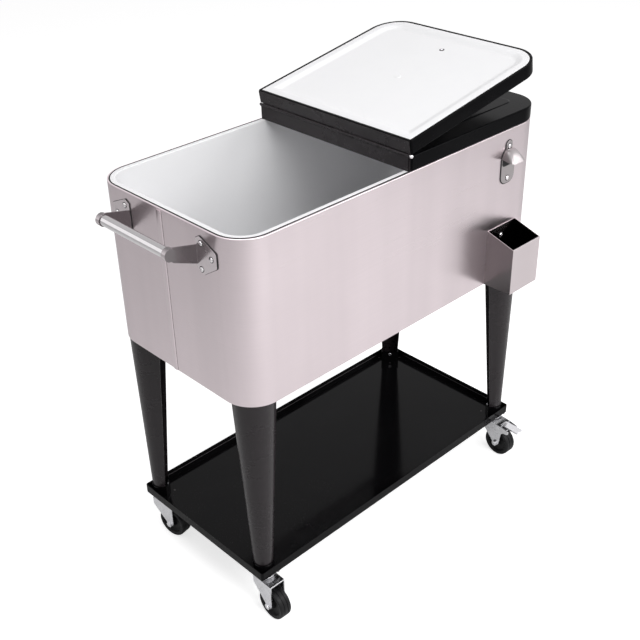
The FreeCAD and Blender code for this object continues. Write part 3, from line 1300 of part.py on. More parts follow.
def add_knuckles(body, sheet_middle, sheet_thickness, stations, length):
    """Add a knuckle with its neck at each station along the hinge, and bore them for the pin."""
    span = f"({length} - knuckle_play)"
    for station in stations:
        neck = [
            (f"{station} - {span} / 2", f"{WEB_TOP} - 1"),
            (f"{station} + {span} / 2", f"{WEB_TOP} - 1"),
            (f"{station} + {span} / 2", "0"),
            (f"{station} - {span} / 2", "0"),
        ]
        pad(body, "YZ_Plane", sheet_middle, sheet_thickness, neck)
        pad(body, "XZ_Plane", station, span, ("0", "0", "knuckle_radius"))
    bore = ("0", "0", "hinge_pin_radius + running_play")
    cut(body, "XZ_Plane", "0", "2 * hinge_length", bore)


def make_hinge_leaf(lid):
    """A leaf welded to the lid's end face, with two long knuckles."""
    body = new_body(f"{lid}_hinge_leaf")
    leaf = rectangle("hinge_length - 2 * knuckle_play", f"{WEB_TOP} - {LID_LOW} - 1", None,
                     "0", f"({WEB_TOP} + {LID_LOW} + 1) / 2")
    pad(body, "YZ_Plane", LEAF_MIDDLE, "leaf_sheet", leaf)
    add_knuckles(body, LEAF_MIDDLE, "leaf_sheet", (FIRST_LEAF_MIDDLE, SECOND_LEAF_MIDDLE), LONG_KNUCKLE)
    stand_on_hinge(body, lid)


def bridge_rivets():
    """The four rivet places of the hinge bridge on the liner's rim, about the tub's middle."""
    y = f"(tub_width / 2 - {RIM_INSET} - rim_width / 2)"
    return [(f"bridge_foot * {share}", f"{side} * {y}") for share in (0.3, 0.75) for side in (-1, 1)]


def make_hinge_bridge():
    """The fixed part of the hinge: a foot across the tub's rim and a web up between the leaves."""
    body = new_body("hinge_bridge")
    foot_length = f"tub_width - 2 * ({RIM_INSET} + leaf_play)"
    foot_middle = f"({RIM} - {HINGE_HEIGHT} + bridge_sheet / 2)"
    foot_width = "bridge_foot + bridge_sheet / 2"
    foot = rectangle(foot_width, foot_length, None, "bridge_foot / 2 - bridge_sheet / 4")
    pad(body, "XY_Plane", foot_middle, "bridge_sheet", foot)
    web_low = f"({RIM} - {HINGE_HEIGHT})"
    web = rectangle(foot_length, f"{WEB_TOP} - {web_low}", None, "0", f"({WEB_TOP} + {web_low}) / 2")
    pad(body, "YZ_Plane", "0", "bridge_sheet", web)
    end = "(hinge_length / 2 - bridge_knuckle / 2)"
    add_knuckles(body, "0", "bridge_sheet", (f"-{end}", "0", end), "bridge_knuckle")
    holes = [(x, y, "bridge_rivet_radius + rivet_play") for x, y in bridge_rivets()]
    cut(body, "XY_Plane", foot_middle, "2 * bridge_sheet", *holes)
    place(body, "0", CENTRE_Y, HINGE_HEIGHT)


def make_hinge_pin():
    """The pin through all knuckles."""
    body = new_body("hinge_pin")
    pad(body, "XZ_Plane", "0", "hinge_length", ("0", "0", "hinge_pin_radius"))
    place(body, "0", CENTRE_Y, HINGE_HEIGHT)


def make_bridge_rivets():
    """Four flush rivets through the bridge's foot and the liner's rim."""
    radius = number("bridge_rivet_radius")
    low = number(f"{RIM} - liner_wall")
    height = number("liner_wall + bridge_sheet")
    solids = []
    for x, y in bridge_rivets():
        base = Vector(number(x), number(f"{CENTRE_Y} + {y}"), low)
        solids.append(Part.makeCylinder(radius, height, base))
    new_group("bridge_rivets", solids)


# ---------------------------------------------------------------- assembly
def build():
    """Build every sub-part."""
    make_outer_shell()
    make_rim_gasket()
    make_inner_liner()
    make_insulation()
    make_bottom_pan()
    make_drain()
    for end_name, end in (("left", -1), ("right", 1)):
        make_handle_bar(f"{end_name}_handle_bar", end)
        for side_name, side in (("front", -1), ("rear", 1)):
            make_handle_bracket(f"{end_name}_handle_{side_name}_bracket", end, side)
    make_handle_rivets()
    make_bottle_opener()
    make_cap_catcher()
    make_face_screws()
    for corner, (sign_x, sign_y) in CORNERS.items():
        make_leg(f"{corner}_leg", sign_x, sign_y)
    make_leg_screws()
    make_shelf_tray()
    for corner in CORNERS:
        make_caster_plate(corner)
        make_caster_fork(corner)
        make_axle(corner)
        make_wheel(corner)
    for corner in BRAKED:
        make_brake_pedal(corner)
    make_caster_bolts()
    make_hinge_bridge()
    make_bridge_rivets()
    make_hinge_pin()
    for lid in ("left", "right"):
        make_lid_cover(lid)
        make_lid_under_pan(lid)
        make_lid_foam(lid)
        make_lid_knob(lid)
        make_knob_screw(lid)
        make_foam_plug(lid)
        make_hinge_leaf(lid)


def check():
    """Stop if any object failed, or a sub-part has no valid shape."""
    for item in doc.Objects:
        if "Invalid" in item.State or "Error" in item.State:
            raise RuntimeError(f"{item.Name} ({item.Label}) is {item.State}")
    for item in sub_parts:
        if item.Shape.isNull() or not item.Shape.isValid():
            raise RuntimeError(f"{item.Label} has no valid shape")


def write():
    """Write each sub-part to its own STEP file."""
    os.makedirs("parts", exist_ok=True)
    for item in sub_parts:
        item.Shape.exportStep(f"parts/{item.Label}.step")


build()
doc.recompute()
check()
write()
print(f"{len(sub_parts)} sub-parts, lid fold {fold_angle():.3f} degrees")
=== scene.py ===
import json
import logging
import math
from dataclasses import dataclass
from enum import Enum
from typing import Callable, Sequence

import bmesh
import bpy
from mathutils import Matrix, Vector
from mathutils.bvhtree import BVHTree
from mathutils.geometry import convex_hull_2d


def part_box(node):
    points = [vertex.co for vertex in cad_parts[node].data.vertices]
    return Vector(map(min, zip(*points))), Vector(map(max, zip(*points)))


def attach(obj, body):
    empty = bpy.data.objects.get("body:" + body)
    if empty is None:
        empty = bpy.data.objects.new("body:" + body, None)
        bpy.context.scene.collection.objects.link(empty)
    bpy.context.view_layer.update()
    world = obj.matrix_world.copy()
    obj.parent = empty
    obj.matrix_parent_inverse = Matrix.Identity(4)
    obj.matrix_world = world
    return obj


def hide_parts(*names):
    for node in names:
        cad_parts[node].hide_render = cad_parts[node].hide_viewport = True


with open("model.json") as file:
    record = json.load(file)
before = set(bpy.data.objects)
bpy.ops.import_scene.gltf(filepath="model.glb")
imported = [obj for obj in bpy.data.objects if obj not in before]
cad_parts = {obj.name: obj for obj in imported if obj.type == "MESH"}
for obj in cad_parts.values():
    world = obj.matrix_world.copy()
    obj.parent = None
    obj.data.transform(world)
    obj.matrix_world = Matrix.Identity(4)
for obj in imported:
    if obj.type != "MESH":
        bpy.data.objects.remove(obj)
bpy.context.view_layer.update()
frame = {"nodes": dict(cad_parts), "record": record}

log = logging.getLogger("cooler_cart")
Point2 = tuple[float, float]
Colour = tuple[float, float, float]
Ring = list[Vector]
MM = 0.001
MIDDLE_Y = 31.5 * MM
SHELL_LOW, SHELL_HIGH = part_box("outer_shell")
RIM = SHELL_HIGH[2]
MERGE_DISTANCE = 2e-6
POLE_RADIUS = 1e-9
RAY_LIFT = 0.2 * MM
SOFT_EDGE = 0.4 * MM
FLAT_ANGLE = math.radians(0.4)
EDGE_ANGLE = math.radians(32)
SLOTS = {row["node"]: row["material_slot"] for row in frame["record"]["subparts"]}
BODIES = {node: body for body, nodes in frame["record"]["behaviour"]["bodies"].items() for node in nodes}
JOINTS = {row["name"]: row for row in frame["record"]["behaviour"]["joints"]}


# ---------- node maths
class Signal:
    """A socket on which Python's operators add Math nodes."""

    def __init__(self, graph: "Graph", socket: bpy.types.NodeSocket | None) -> None:
        """Hold a socket and the graph that it belongs to."""
        self.graph = graph
        self.socket = socket

    def _math(self, operation: str, *values: "Signal | float") -> "Signal":
        """Add a Math node with an operation and its inputs, in order."""
        return self.graph.node("ShaderNodeMath", {"operation": operation}, dict(enumerate(values)))

    def __add__(self, other: "Signal | float") -> "Signal":
        """self + other."""
        return self._math("ADD", self, other)

    def __radd__(self, other: float) -> "Signal":
        """other + self."""
        return self._math("ADD", other, self)

    def __sub__(self, other: "Signal | float") -> "Signal":
        """self - other."""
        return self._math("SUBTRACT", self, other)

    def __rsub__(self, other: float) -> "Signal":
        """other - self."""
        return self._math("SUBTRACT", other, self)

    def __mul__(self, other: "Signal | float") -> "Signal":
        """self * other."""
        return self._math("MULTIPLY", self, other)

    def __rmul__(self, other: float) -> "Signal":
        """other * self."""
        return self._math("MULTIPLY", other, self)

    def between(self, low: float, high: float) -> "Signal":
        """Scale the signal so that low becomes 0 and high 1, and hold it there beyond them."""
        scaled = {"Value": self, "From Min": low, "From Max": high, "To Min": 0.0, "To Max": 1.0}
        return self.graph.node("ShaderNodeMapRange", {"clamp": True}, scaled)


class Graph:
    """A node tree of a material, of the world or of a modifier."""

    def __init__(self, tree: bpy.types.NodeTree) -> None:
        """Take a node tree and empty it."""
        self.tree = tree
        tree.nodes.clear()

    def node(self, kind: str, settings: dict | None = None, inputs: dict | None = None,
             output: int | str = 0) -> Signal:
        """Add a node.

        Args:
            kind: the node's type.
            settings: its own settings, which are set first.
            inputs: values or links of its sockets, by name or number.
            output: the socket to return.

        Returns:
            The chosen output, if the node has any.
        """
        made = self.tree.nodes.new(kind)
        for name, value in (settings or {}).items():
            setattr(made, name, value)
        for key, value in (inputs or {}).items():
            if isinstance(value, Signal):
                self.tree.links.new(value.socket, made.inputs[key])
            else:
                made.inputs[key].default_value = value
        return Signal(self, made.outputs[output] if made.outputs else None)

    def noise(self, scale: Sequence[float], detail: float = 2.0, roughness: float = 0.5,
              shift: Sequence[float] = (0, 0, 0)) -> Signal:
        """Noise on the piece's own coordinates, with its grain stretched along the axes.

        Args:
            scale: grains per metre along each axis.
            detail: how many finer layers it has.
            roughness: how strong the finer layers are.
            shift: where the noise is read from.

        Returns:
            The noise, about 0 to 1.
        """
        place = self.node("ShaderNodeTexCoord", output="Object")
        mapped = {"Vector": place, "Scale": tuple(scale), "Location": shift}
        inputs = {"Vector": self.node("ShaderNodeMapping", inputs=mapped), "Scale": 1.0,
                  "Detail": detail, "Roughness": roughness}
        return self.node("ShaderNodeTexNoise", inputs=inputs)

    def mix(self, share: Signal | float, first: Signal | Colour, second: Signal | Colour) -> Signal:
        """A blend of two colours.

        Args:
            share: how much of the second colour there is.
            first: the colour at 0.
            second: the colour at 1.

        Returns:
            The blended colour.
        """
        pair = [value if isinstance(value, Signal) else (*value, 1.0) for value in (first, second)]
        inputs = {"Factor": share, "A": pair[0], "B": pair[1]}
        return self.node("ShaderNodeMix", {"data_type": "RGBA"}, inputs, "Result")

    def bump(self, height: Signal, strength: float, distance: float) -> Signal:
        """The normal that a relief of 0 to 1 bumps, over a distance in metres."""
        inputs = {"Height": height, "Strength": strength, "Distance": distance}
        return self.node("ShaderNodeBump", inputs=inputs)

    def surface(self, inputs: dict) -> None:
        """End the graph in a Principled shader with these inputs."""
        shader = self.node("ShaderNodeBsdfPrincipled", inputs=inputs)
        self.node("ShaderNodeOutputMaterial", inputs={"Surface": shader})


# ---------- finishes
class Grain(Enum):
    """The direction in which a sheet was brushed, as scratches per metre along each axis."""

    ALONG = (3.0, 3.0, 1500.0)
    UPRIGHT = (1500.0, 1500.0, 4.0)


@dataclass(frozen=True)
class Finish:
    """What every finish has: a name, a plain colour and a roughness that the rest varies about."""

    name: str
    colour: Colour
    roughness: float = 0.3

    def tinted(self, factor: float) -> Colour:
        """The colour times a factor."""
        return tuple(channel * factor for channel in self.colour)

    def shaded(self, graph: Graph, tone: Signal, left: float) -> Signal:
        """Darken a tone where the mesh's shade attribute says so, to what is left of the colour."""
        share = graph.node("ShaderNodeAttribute", {"attribute_name": "shade"}, output="Fac")
        return graph.mix(share, tone, self.tinted(left))

    def inputs(self, graph: Graph) -> dict:
        """The inputs of the shader, worked out in the finish's graph."""
        raise NotImplementedError

    def build(self) -> bpy.types.Material:
        """Make the material.

        Returns:
            The material, with its nodes.
        """
        material = bpy.data.materials.new(self.name)
        material.use_nodes = True
        graph = Graph(material.node_tree)
        graph.surface(self.inputs(graph))
        return material


@dataclass(frozen=True)
class BrushedSteel(Finish):
    """Stainless sheet with fine parallel scratches, soft upright stripes that are part mill variation
    and part painted sheen, faint hand marks and slow waves, and painted shade where the mesh's shade
    attribute says so.
    """

    grain: Grain = Grain.ALONG
    relief: float = 0.003
    anisotropy: float = 0.4
    banding_and_painted_sheen: float = 0.6

    def inputs(self, graph: Graph) -> dict:
        """The inputs of the shader.

        Args:
            graph: the material's nodes.

        Returns:
            Values and links by socket name.
        """
        fine = graph.noise(self.grain.value, roughness=0.55)
        coarse = graph.noise([axis * 0.3 for axis in self.grain.value], detail=1.0, shift=(5, 2, 1))
        smears = graph.noise((7, 7, 5), detail=3.0, roughness=0.55, shift=(1, 3, 2)).between(0.42, 0.7)
        waves = graph.noise((5, 5, 2.5), detail=1.0, shift=(9, 4, 6))
        # soft upright stripes: part mill variation, part painted sheen that stands in for reflections in
        # the brushed sheet
        bands_and_painted_sheen = graph.noise((13, 13, 0.5), roughness=0.6, shift=(3, 8, 2)).between(0.35, 0.65)
        streak = fine * 0.7 + coarse * 0.3
        tone = graph.mix(streak.between(0.3, 0.7), self.tinted(0.975), self.tinted(1.02))
        worn_and_painted_sheen = graph.mix(smears * 0.2 + bands_and_painted_sheen * self.banding_and_painted_sheen, tone, self.tinted(0.9))
        return {
            # painted shade, down to a twentieth of the colour, where the mesh's shade attribute says so
            "Base Color": self.shaded(graph, worn_and_painted_sheen, 0.05),
            "Metallic": 1.0,
            "Roughness": self.roughness + streak * 0.04 + smears * 0.04 - 0.04,
            "Anisotropic": self.anisotropy,
            "Normal": graph.bump(streak * self.relief + waves, 0.35, 2.2 * MM),
        }


@dataclass(frozen=True)
class PolishedMetal(Finish):
    """Bright metal, with hair lines that catch the light and a few dull patches, and painted shade where
    the mesh's shade attribute says so.
    """

    patch_scale: float = 60.0
    dulling: float = 0.95

    def inputs(self, graph: Graph) -> dict:
        """The inputs of the shader.

        Args:
            graph: the material's nodes.

        Returns:
            Values and links by socket name.
        """
        patches = graph.noise([self.patch_scale] * 3, detail=4.0, roughness=0.62).between(0.35, 0.7)
        hairs = graph.noise((900, 60, 900), detail=3.0, roughness=0.6)
        tone = graph.mix(patches, self.colour, self.tinted(self.dulling))
        return {
            # painted shade, down to a fifth of the colour, where the mesh's shade attribute says so
            "Base Color": self.shaded(graph, tone, 0.2),
            "Metallic": 1.0,
            "Roughness": self.roughness + patches * 0.06 + hairs * 0.03,
            "Normal": graph.bump(hairs, 0.05, 0.04 * MM),
        }


@dataclass(frozen=True)
class Enamel(Finish):
    """Powder coat or gloss paint: a fine orange peel, a thin haze of dust and small scuffs."""

    peel_scale: float = 420.0
    relief: float = 0.05
    gleam: float = 0.12
    dust: Colour = (0.1, 0.095, 0.1)

    def inputs(self, graph: Graph) -> dict:
        """The inputs of the shader.

        Args:
            graph: the material's nodes.

        Returns:
            Values and links by socket name.
        """
        peel = graph.noise([self.peel_scale] * 3, roughness=0.45)
        haze = graph.noise((9, 9, 14), detail=5.0, roughness=0.62).between(0.45, 0.8)
        scuffs = graph.noise((260, 18, 260), detail=4.0, roughness=0.7, shift=(2, 7, 4))
        scuffs = scuffs.between(0.66, 0.74)
        return {
            "Base Color": graph.mix(haze * 0.02 + scuffs * 0.015, self.colour, self.dust),
            "Roughness": self.roughness + haze * 0.05 + scuffs * 0.03 + peel * 0.02,
            "Specular IOR Level": self.gleam,
            "Normal": graph.bump(peel, self.relief, 0.2 * MM),
        }


@dataclass(frozen=True)
class Moulded(Finish):
    """Moulded plastic or rubber: a fine even grain and a slight change of tone."""

    grain_scale: float = 900.0
    relief: float = 0.1
    wear: Colour = (0.3, 0.3, 0.3)
    wear_share: float = 0.08
    gleam: float = 0.5

    def inputs(self, graph: Graph) -> dict:
        """The inputs of the shader.

        Args:
            graph: the material's nodes.

        Returns:
            Values and links by socket name.
        """
        grain = graph.noise([self.grain_scale] * 3, detail=3.0, roughness=0.55)
        clouds = graph.noise([24] * 3, detail=4.0, roughness=0.6, shift=(3, 1, 8)).between(0.4, 0.75)
        return {
            "Base Color": graph.mix(clouds * self.wear_share, self.colour, self.wear),
            "Roughness": self.roughness + grain * 0.08 + clouds * 0.08 - 0.04,
            "Specular IOR Level": self.gleam,
            "Normal": graph.bump(grain, self.relief, 0.2 * MM),
        }


FINISHES = {
    "shell_steel": BrushedSteel("brushed_shell", (0.74, 0.655, 0.68), 0.3),
    "bright_steel": PolishedMetal("polished_tube", (0.86, 0.84, 0.85), 0.13),
    "bracket_steel": PolishedMetal("bracket_sheet", (0.72, 0.66, 0.68), 0.2, 90.0),
    "opener_steel": PolishedMetal("opener_pressing", (0.43, 0.4, 0.405), 0.3, 80.0),
    "catcher_steel": BrushedSteel("catcher_sheet", (0.68, 0.61, 0.625), 0.26, Grain.UPRIGHT),
    "zinc": PolishedMetal("zinc_plate", (0.78, 0.78, 0.8), 0.22, 80.0, 0.88),
    "black_gloss": Enamel("black_gloss_coat", (0.0035, 0.0033, 0.0038), 0.09, relief=0.008, gleam=0.08),
    "lid_gloss": Enamel("lid_gloss_coat", (0.0022, 0.0022, 0.0027), 0.15, relief=0.012, gleam=0.03),
    "black_satin": Enamel("black_satin_coat", (0.021, 0.017, 0.019), 0.26, 600.0, 0.012, 0.28),
    "white_plastic": Moulded("white_liner", (0.88, 0.88, 0.89), 0.34, 700.0, 0.03, (0.78, 0.78, 0.8)),
    "foam": Moulded("cut_foam", (0.74, 0.68, 0.5), 0.85, 500.0, 0.6, (0.6, 0.52, 0.34), 0.5),
    "gasket_rubber": Moulded("gasket_rubber", (0.02, 0.02, 0.021), 0.55, gleam=0.2),
    "wheel_black": Moulded("wheel_rubber", (0.008, 0.008, 0.009), 0.4, 600.0, 0.12, (0.09, 0.09, 0.09),
                           0.05, 0.2),
    "knob_black": Moulded("knob_plastic", (0.009, 0.009, 0.01), 0.2, 900.0, 0.03, gleam=0.3),
    "drain_plastic": Moulded("drain_plastic", (0.03, 0.03, 0.032), 0.42),
}
MATERIALS: dict[str, bpy.types.Material] = {}


# ---------- mesh helpers
def arc(centre: Point2, radius: float, start: float, end: float, steps: int) -> list[Point2]:
    """Points on an arc.

    Args:
        centre: its centre.
        radius: its radius.
        start: first angle in degrees.
        end: last angle in degrees.
        steps: how many sides it has.

    Returns:
        steps + 1 points.
    """
    angles = [math.radians(start + (end - start) * step / steps) for step in range(steps + 1)]
    return [(centre[0] + radius * math.cos(a), centre[1] + radius * math.sin(a)) for a in angles]


def outline(x: Point2, y: Point2, radii: Sequence[float], steps: int = 12) -> list[Point2]:
    """A rectangle with rounded corners, anticlockwise.

    Args:
        x: lowest and highest x.
        y: lowest and highest y.
        radii: the radius of each corner, from (low, low) anticlockwise.
        steps: how many sides a corner has.

    Returns:
        The same number of points for any sizes.
    """
    points = []
    for quarter, radius in enumerate(radii):
        right, upper = quarter in (1, 2), quarter in (2, 3)
        centre = (x[right] + (-radius if right else radius), y[upper] + (-radius if upper else radius))
        start = (180 + 90 * quarter) % 360
        points += arc(centre, radius, start, start + 90, steps)
    return points


def raised(base: float, *points: Point2) -> list[Point2]:
    """Points of a profile, given in millimetres above a base in metres."""
    return [(across * MM, base + height * MM) for across, height in points]


def smooth_step(share: float) -> float:
    """An even swing from 0 to 1."""
    return share * share * (3 - 2 * share)


def new_object(name: str, data: bpy.types.ID) -> bpy.types.Object:
    """Put data into the scene.

    Args:
        name: the object's name.
        data: its mesh, lamp or camera.

    Returns:
        The object.
    """
    item = bpy.data.objects.new(name, data)
    bpy.context.scene.collection.objects.link(item)
    return item


def new_piece(name: str, bm: bmesh.types.BMesh, finish: str, sharp: float = 38.0,
              point_out: bool = True) -> bpy.types.Object:
    """Turn a bmesh into an object with a finish.

    Args:
        name: the piece's name.
        bm: its mesh, which is freed.
        finish: the finish it gets.
        sharp: edges that turn by more than this many degrees stay sharp.
        point_out: whether the faces are turned outwards.

    Returns:
        The object.
    """
    if point_out:
        bmesh.ops.recalc_face_normals(bm, faces=bm.faces)
    mesh = bpy.data.meshes.new(name)
    bm.to_mesh(mesh)
    bm.free()
    mesh.shade_smooth()
    mesh.set_sharp_from_angle(angle=math.radians(sharp))
    mesh.materials.append(MATERIALS[finish])
    piece = new_object(name, mesh)
    piece.modifiers.new("weighted", "WEIGHTED_NORMAL").keep_sharp = True
    return piece


def seat(piece: bpy.types.Object, body: str, slot: str, *nodes: str) -> None:
    """Let a piece ride on a body and stand for CAD nodes.

    Args:
        piece: the finished piece.
        body: the CAD body it moves with.
        slot: the record's material slot; not used.
        nodes: the CAD nodes it stands for.
    """
    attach(piece, body)
    if nodes:
        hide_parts(*nodes)
    log.info("%s: %d faces on %s", piece.name, len(piece.data.polygons), body)


def skin(bm: bmesh.types.BMesh, rings: Sequence[Ring], closed: bool = False) -> None:
    """Skin rings of equal counts into one solid.

    Args:
        bm: the mesh to add to.
        rings: the rings in order.
        closed: whether the last ring joins the first; else both are filled.
    """
    layers = [[bm.verts.new(point) for point in ring] for ring in rings]
    count = len(layers[0])
    for low, high in zip(layers, layers[1:] + layers[:1] * closed):
        for index in range(count):
            following = (index + 1) % count
            bm.faces.new((low[index], low[following], high[following], high[index]))
    if not closed:
        bm.faces.new(layers[0][::-1])
        bm.faces.new(layers[-1])


def skinned(name: str, rings: Sequence[Ring], finish: str, closed: bool = False,
            sharp: float = 38.0) -> bpy.types.Object:
    """A piece that is one solid, skinned over rings.

    Args:
        name: the piece's name.
        rings: the rings in order.
        finish: the finish it gets.
        closed: whether the last ring joins the first.
        sharp: edges that turn by more than this many degrees stay sharp.

    Returns:
        The object.
    """
    bm = bmesh.new()
    skin(bm, rings, closed)
    return new_piece(name, bm, finish, sharp)


def lathed(name: str, profile: Sequence[Point2], finish: str, origin: Vector, axis: Vector,
           steps: int = 48, sharp: float = 38.0) -> bpy.types.Object:
    """A piece turned about an axis.

    Args:
        name: the piece's name.
        profile: (radius, distance along the axis); a loop, or from pole to pole.
        finish: the finish it gets.
        origin: a point on the axis.
        axis: the axis's direction.
        steps: how many sides the turned piece has.
        sharp: edges that turn by more than this many degrees stay sharp.

    Returns:
        The object.
    """
    bm = bmesh.new()
    turn = Vector((0, 0, 1)).rotation_difference(axis.normalized()).to_matrix()
    angles = [2 * math.pi * step / steps for step in range(steps)]
    rings = []
    for radius, height in profile:
        circle = [(radius * math.cos(angle), radius * math.sin(angle), height) for angle in angles]
        if radius < POLE_RADIUS:
            circle = [(0.0, 0.0, height)]
        rings.append([bm.verts.new(origin + turn @ Vector(place)) for place in circle])
    pairs = list(zip(rings, rings[1:]))
    if len(rings[0]) > 1 or len(rings[-1]) > 1:
        pairs.append((rings[-1], rings[0]))
    for low, high in pairs:
        for step in range(steps):
            following = (step + 1) % steps
            if len(low) == 1:
                bm.faces.new((low[0], high[following], high[step]))
            elif len(high) == 1:
                bm.faces.new((low[step], low[following], high[0]))
            else:
                bm.faces.new((low[step], low[following], high[following], high[step]))
    return new_piece(name, bm, finish, sharp)


def merged(node: str) -> bmesh.types.BMesh:
    """A copy of a CAD node's mesh with its loose triangles joined.

    Args:
        node: the CAD node.

    Returns:
        The mesh.
    """
    bm = bmesh.new()
    bm.from_mesh(frame["nodes"][node].data)
    bmesh.ops.remove_doubles(bm, verts=bm.verts, dist=MERGE_DISTANCE)
    return bm


def shade(piece: bpy.types.Object, depth: Callable[[Vector], float], inside: float = 0.0) -> None:
    """Write how deep in shade each face of a piece is drawn.

    Args:
        piece: the piece.
        depth: the shade of a face, 0 to 1, from the way it faces.
        inside: the shade of a face that looks at another face of the piece.
    """
    mesh = piece.data
    faces = [tuple(face.vertices) for face in mesh.polygons]
    tree = BVHTree.FromPolygons([vert.co for vert in mesh.vertices], faces)
    values = []
    for face in mesh.polygons:
        hit = tree.ray_cast(face.center + face.normal * RAY_LIFT, face.normal)[0]
        values.append(inside if hit and inside else depth(face.normal))
    mesh.attributes.new("shade", "FLOAT", "FACE").data.foreach_set("value", values)


# ---------- studio
@dataclass(frozen=True)
class SoftBox:
    """A round lamp that looks at the middle of the cart: metres and watts."""

    name: str
    place: tuple[float, float, float]
    size: float
    power: float


@dataclass
class Studio:
    """The camera, the pale floor and the soft light round the cart."""

    camera_place: tuple[float, float, float] = (-1.22027, -1.21868, 1.49071)
    azimuth: float = -0.758153139
    elevation: float = 0.548088894
    roll: float = -0.0232635828
    lens: float = 57.642
    sensor: float = 36.0
    near: float = 0.02
    ambient: float = 0.28
    floor_half: float = 30.0
    floor_colour: float = 0.86
    floor_seen: float = 0.7
    floor_mirrored: float = 0.13
    aim: tuple[float, float, float] = (0.0, 0.0, 0.5)
    boxes: tuple[SoftBox, ...] = (
        SoftBox("front_box", (-0.25, -2.3, 2.0), 1.8, 39.5),
        SoftBox("right_box", (1.7, -2.0, 1.9), 1.4, 21.0),
        SoftBox("top_box", (0.0, 0.1, 3.0), 2.0, 12.5),
        SoftBox("tub_box", (-0.75, 0.05, 2.5), 1.0, 7.8),
    )

    def camera(self) -> None:
        """Set up the camera."""
        data = bpy.data.cameras.new("camera")
        data.lens = self.lens
        data.sensor_width = self.sensor
        data.clip_start = self.near
        level = math.cos(self.elevation)
        back = Vector((math.sin(self.azimuth) * level, -math.cos(self.azimuth) * level,
                       math.sin(self.elevation)))
        right = Vector((0, 0, 1)).cross(back).normalized()
        up = back.cross(right)
        turn_cos, turn_sin = math.cos(self.roll), math.sin(self.roll)
        across = turn_cos * right + turn_sin * up
        upward = -turn_sin * right + turn_cos * up
        turn = Matrix((across, upward, back)).transposed().to_4x4()
        item = new_object("camera", data)
        item.matrix_world = Matrix.Translation(self.camera_place) @ turn
        bpy.context.scene.camera = item

    @staticmethod
    def rays(graph: Graph) -> tuple[Signal, Signal]:
        """Tell the kinds of rays apart.

        Args:
            graph: the nodes that ask.

        Returns:
            Whether the camera sees a surface, and whether metal or glass shows it.
        """
        kinds = ("Is Camera Ray", "Is Glossy Ray", "Is Transmission Ray")
        seen, glossy, passed = (graph.node("ShaderNodeLightPath", output=kind) for kind in kinds)
        return seen, glossy + passed

    def floor(self) -> None:
        """A wide pale floor that keeps the cart's shadow."""
        bm = bmesh.new()
        bmesh.ops.create_grid(bm, x_segments=1, y_segments=1, size=self.floor_half)
        mesh = bpy.data.meshes.new("floor")
        bm.to_mesh(mesh)
        bm.free()
        material = bpy.data.materials.new("pale_floor")
        material.use_nodes = True
        graph = Graph(material.node_tree)
        seen, mirrored = self.rays(graph)
        graph.surface({
            "Base Color": (self.floor_colour, self.floor_colour, self.floor_colour, 1.0),
            "Roughness": 0.9,
            "Specular IOR Level": 0.0,
            "Emission Color": (1.0, 1.0, 1.0, 1.0),
            "Emission Strength": seen * self.floor_seen + mirrored * self.floor_mirrored,
        })
        mesh.materials.append(material)
        new_object("floor", mesh)

    def light(self) -> None:
        """A white world that lights the cart softly, and four soft boxes."""
        world = bpy.data.worlds.new("studio")
        world.use_nodes = True
        bpy.context.scene.world = world
        graph = Graph(world.node_tree)
        seen, mirrored = self.rays(graph)
        shown = (seen + mirrored) * (1.0 - self.ambient) + self.ambient
        inputs = {"Color": (1.0, 0.99, 1.0, 1.0), "Strength": shown}
        lit = graph.node("ShaderNodeBackground", inputs=inputs)
        graph.node("ShaderNodeOutputWorld", inputs={"Surface": lit})
        for box in self.boxes:
            data = bpy.data.lights.new(box.name, "AREA")
            data.shape = "DISK"
            data.size = box.size
            data.energy = box.power
            turn = (Vector(self.aim) - Vector(box.place)).to_track_quat("-Z", "Y").to_matrix().to_4x4()
            new_object(box.name, data).matrix_world = Matrix.Translation(box.place) @ turn

    def build(self) -> None:
        """Set up everything round the cart."""
        bpy.context.scene.view_settings.view_transform = "Standard"
        self.camera()
        self.floor()
        self.light()


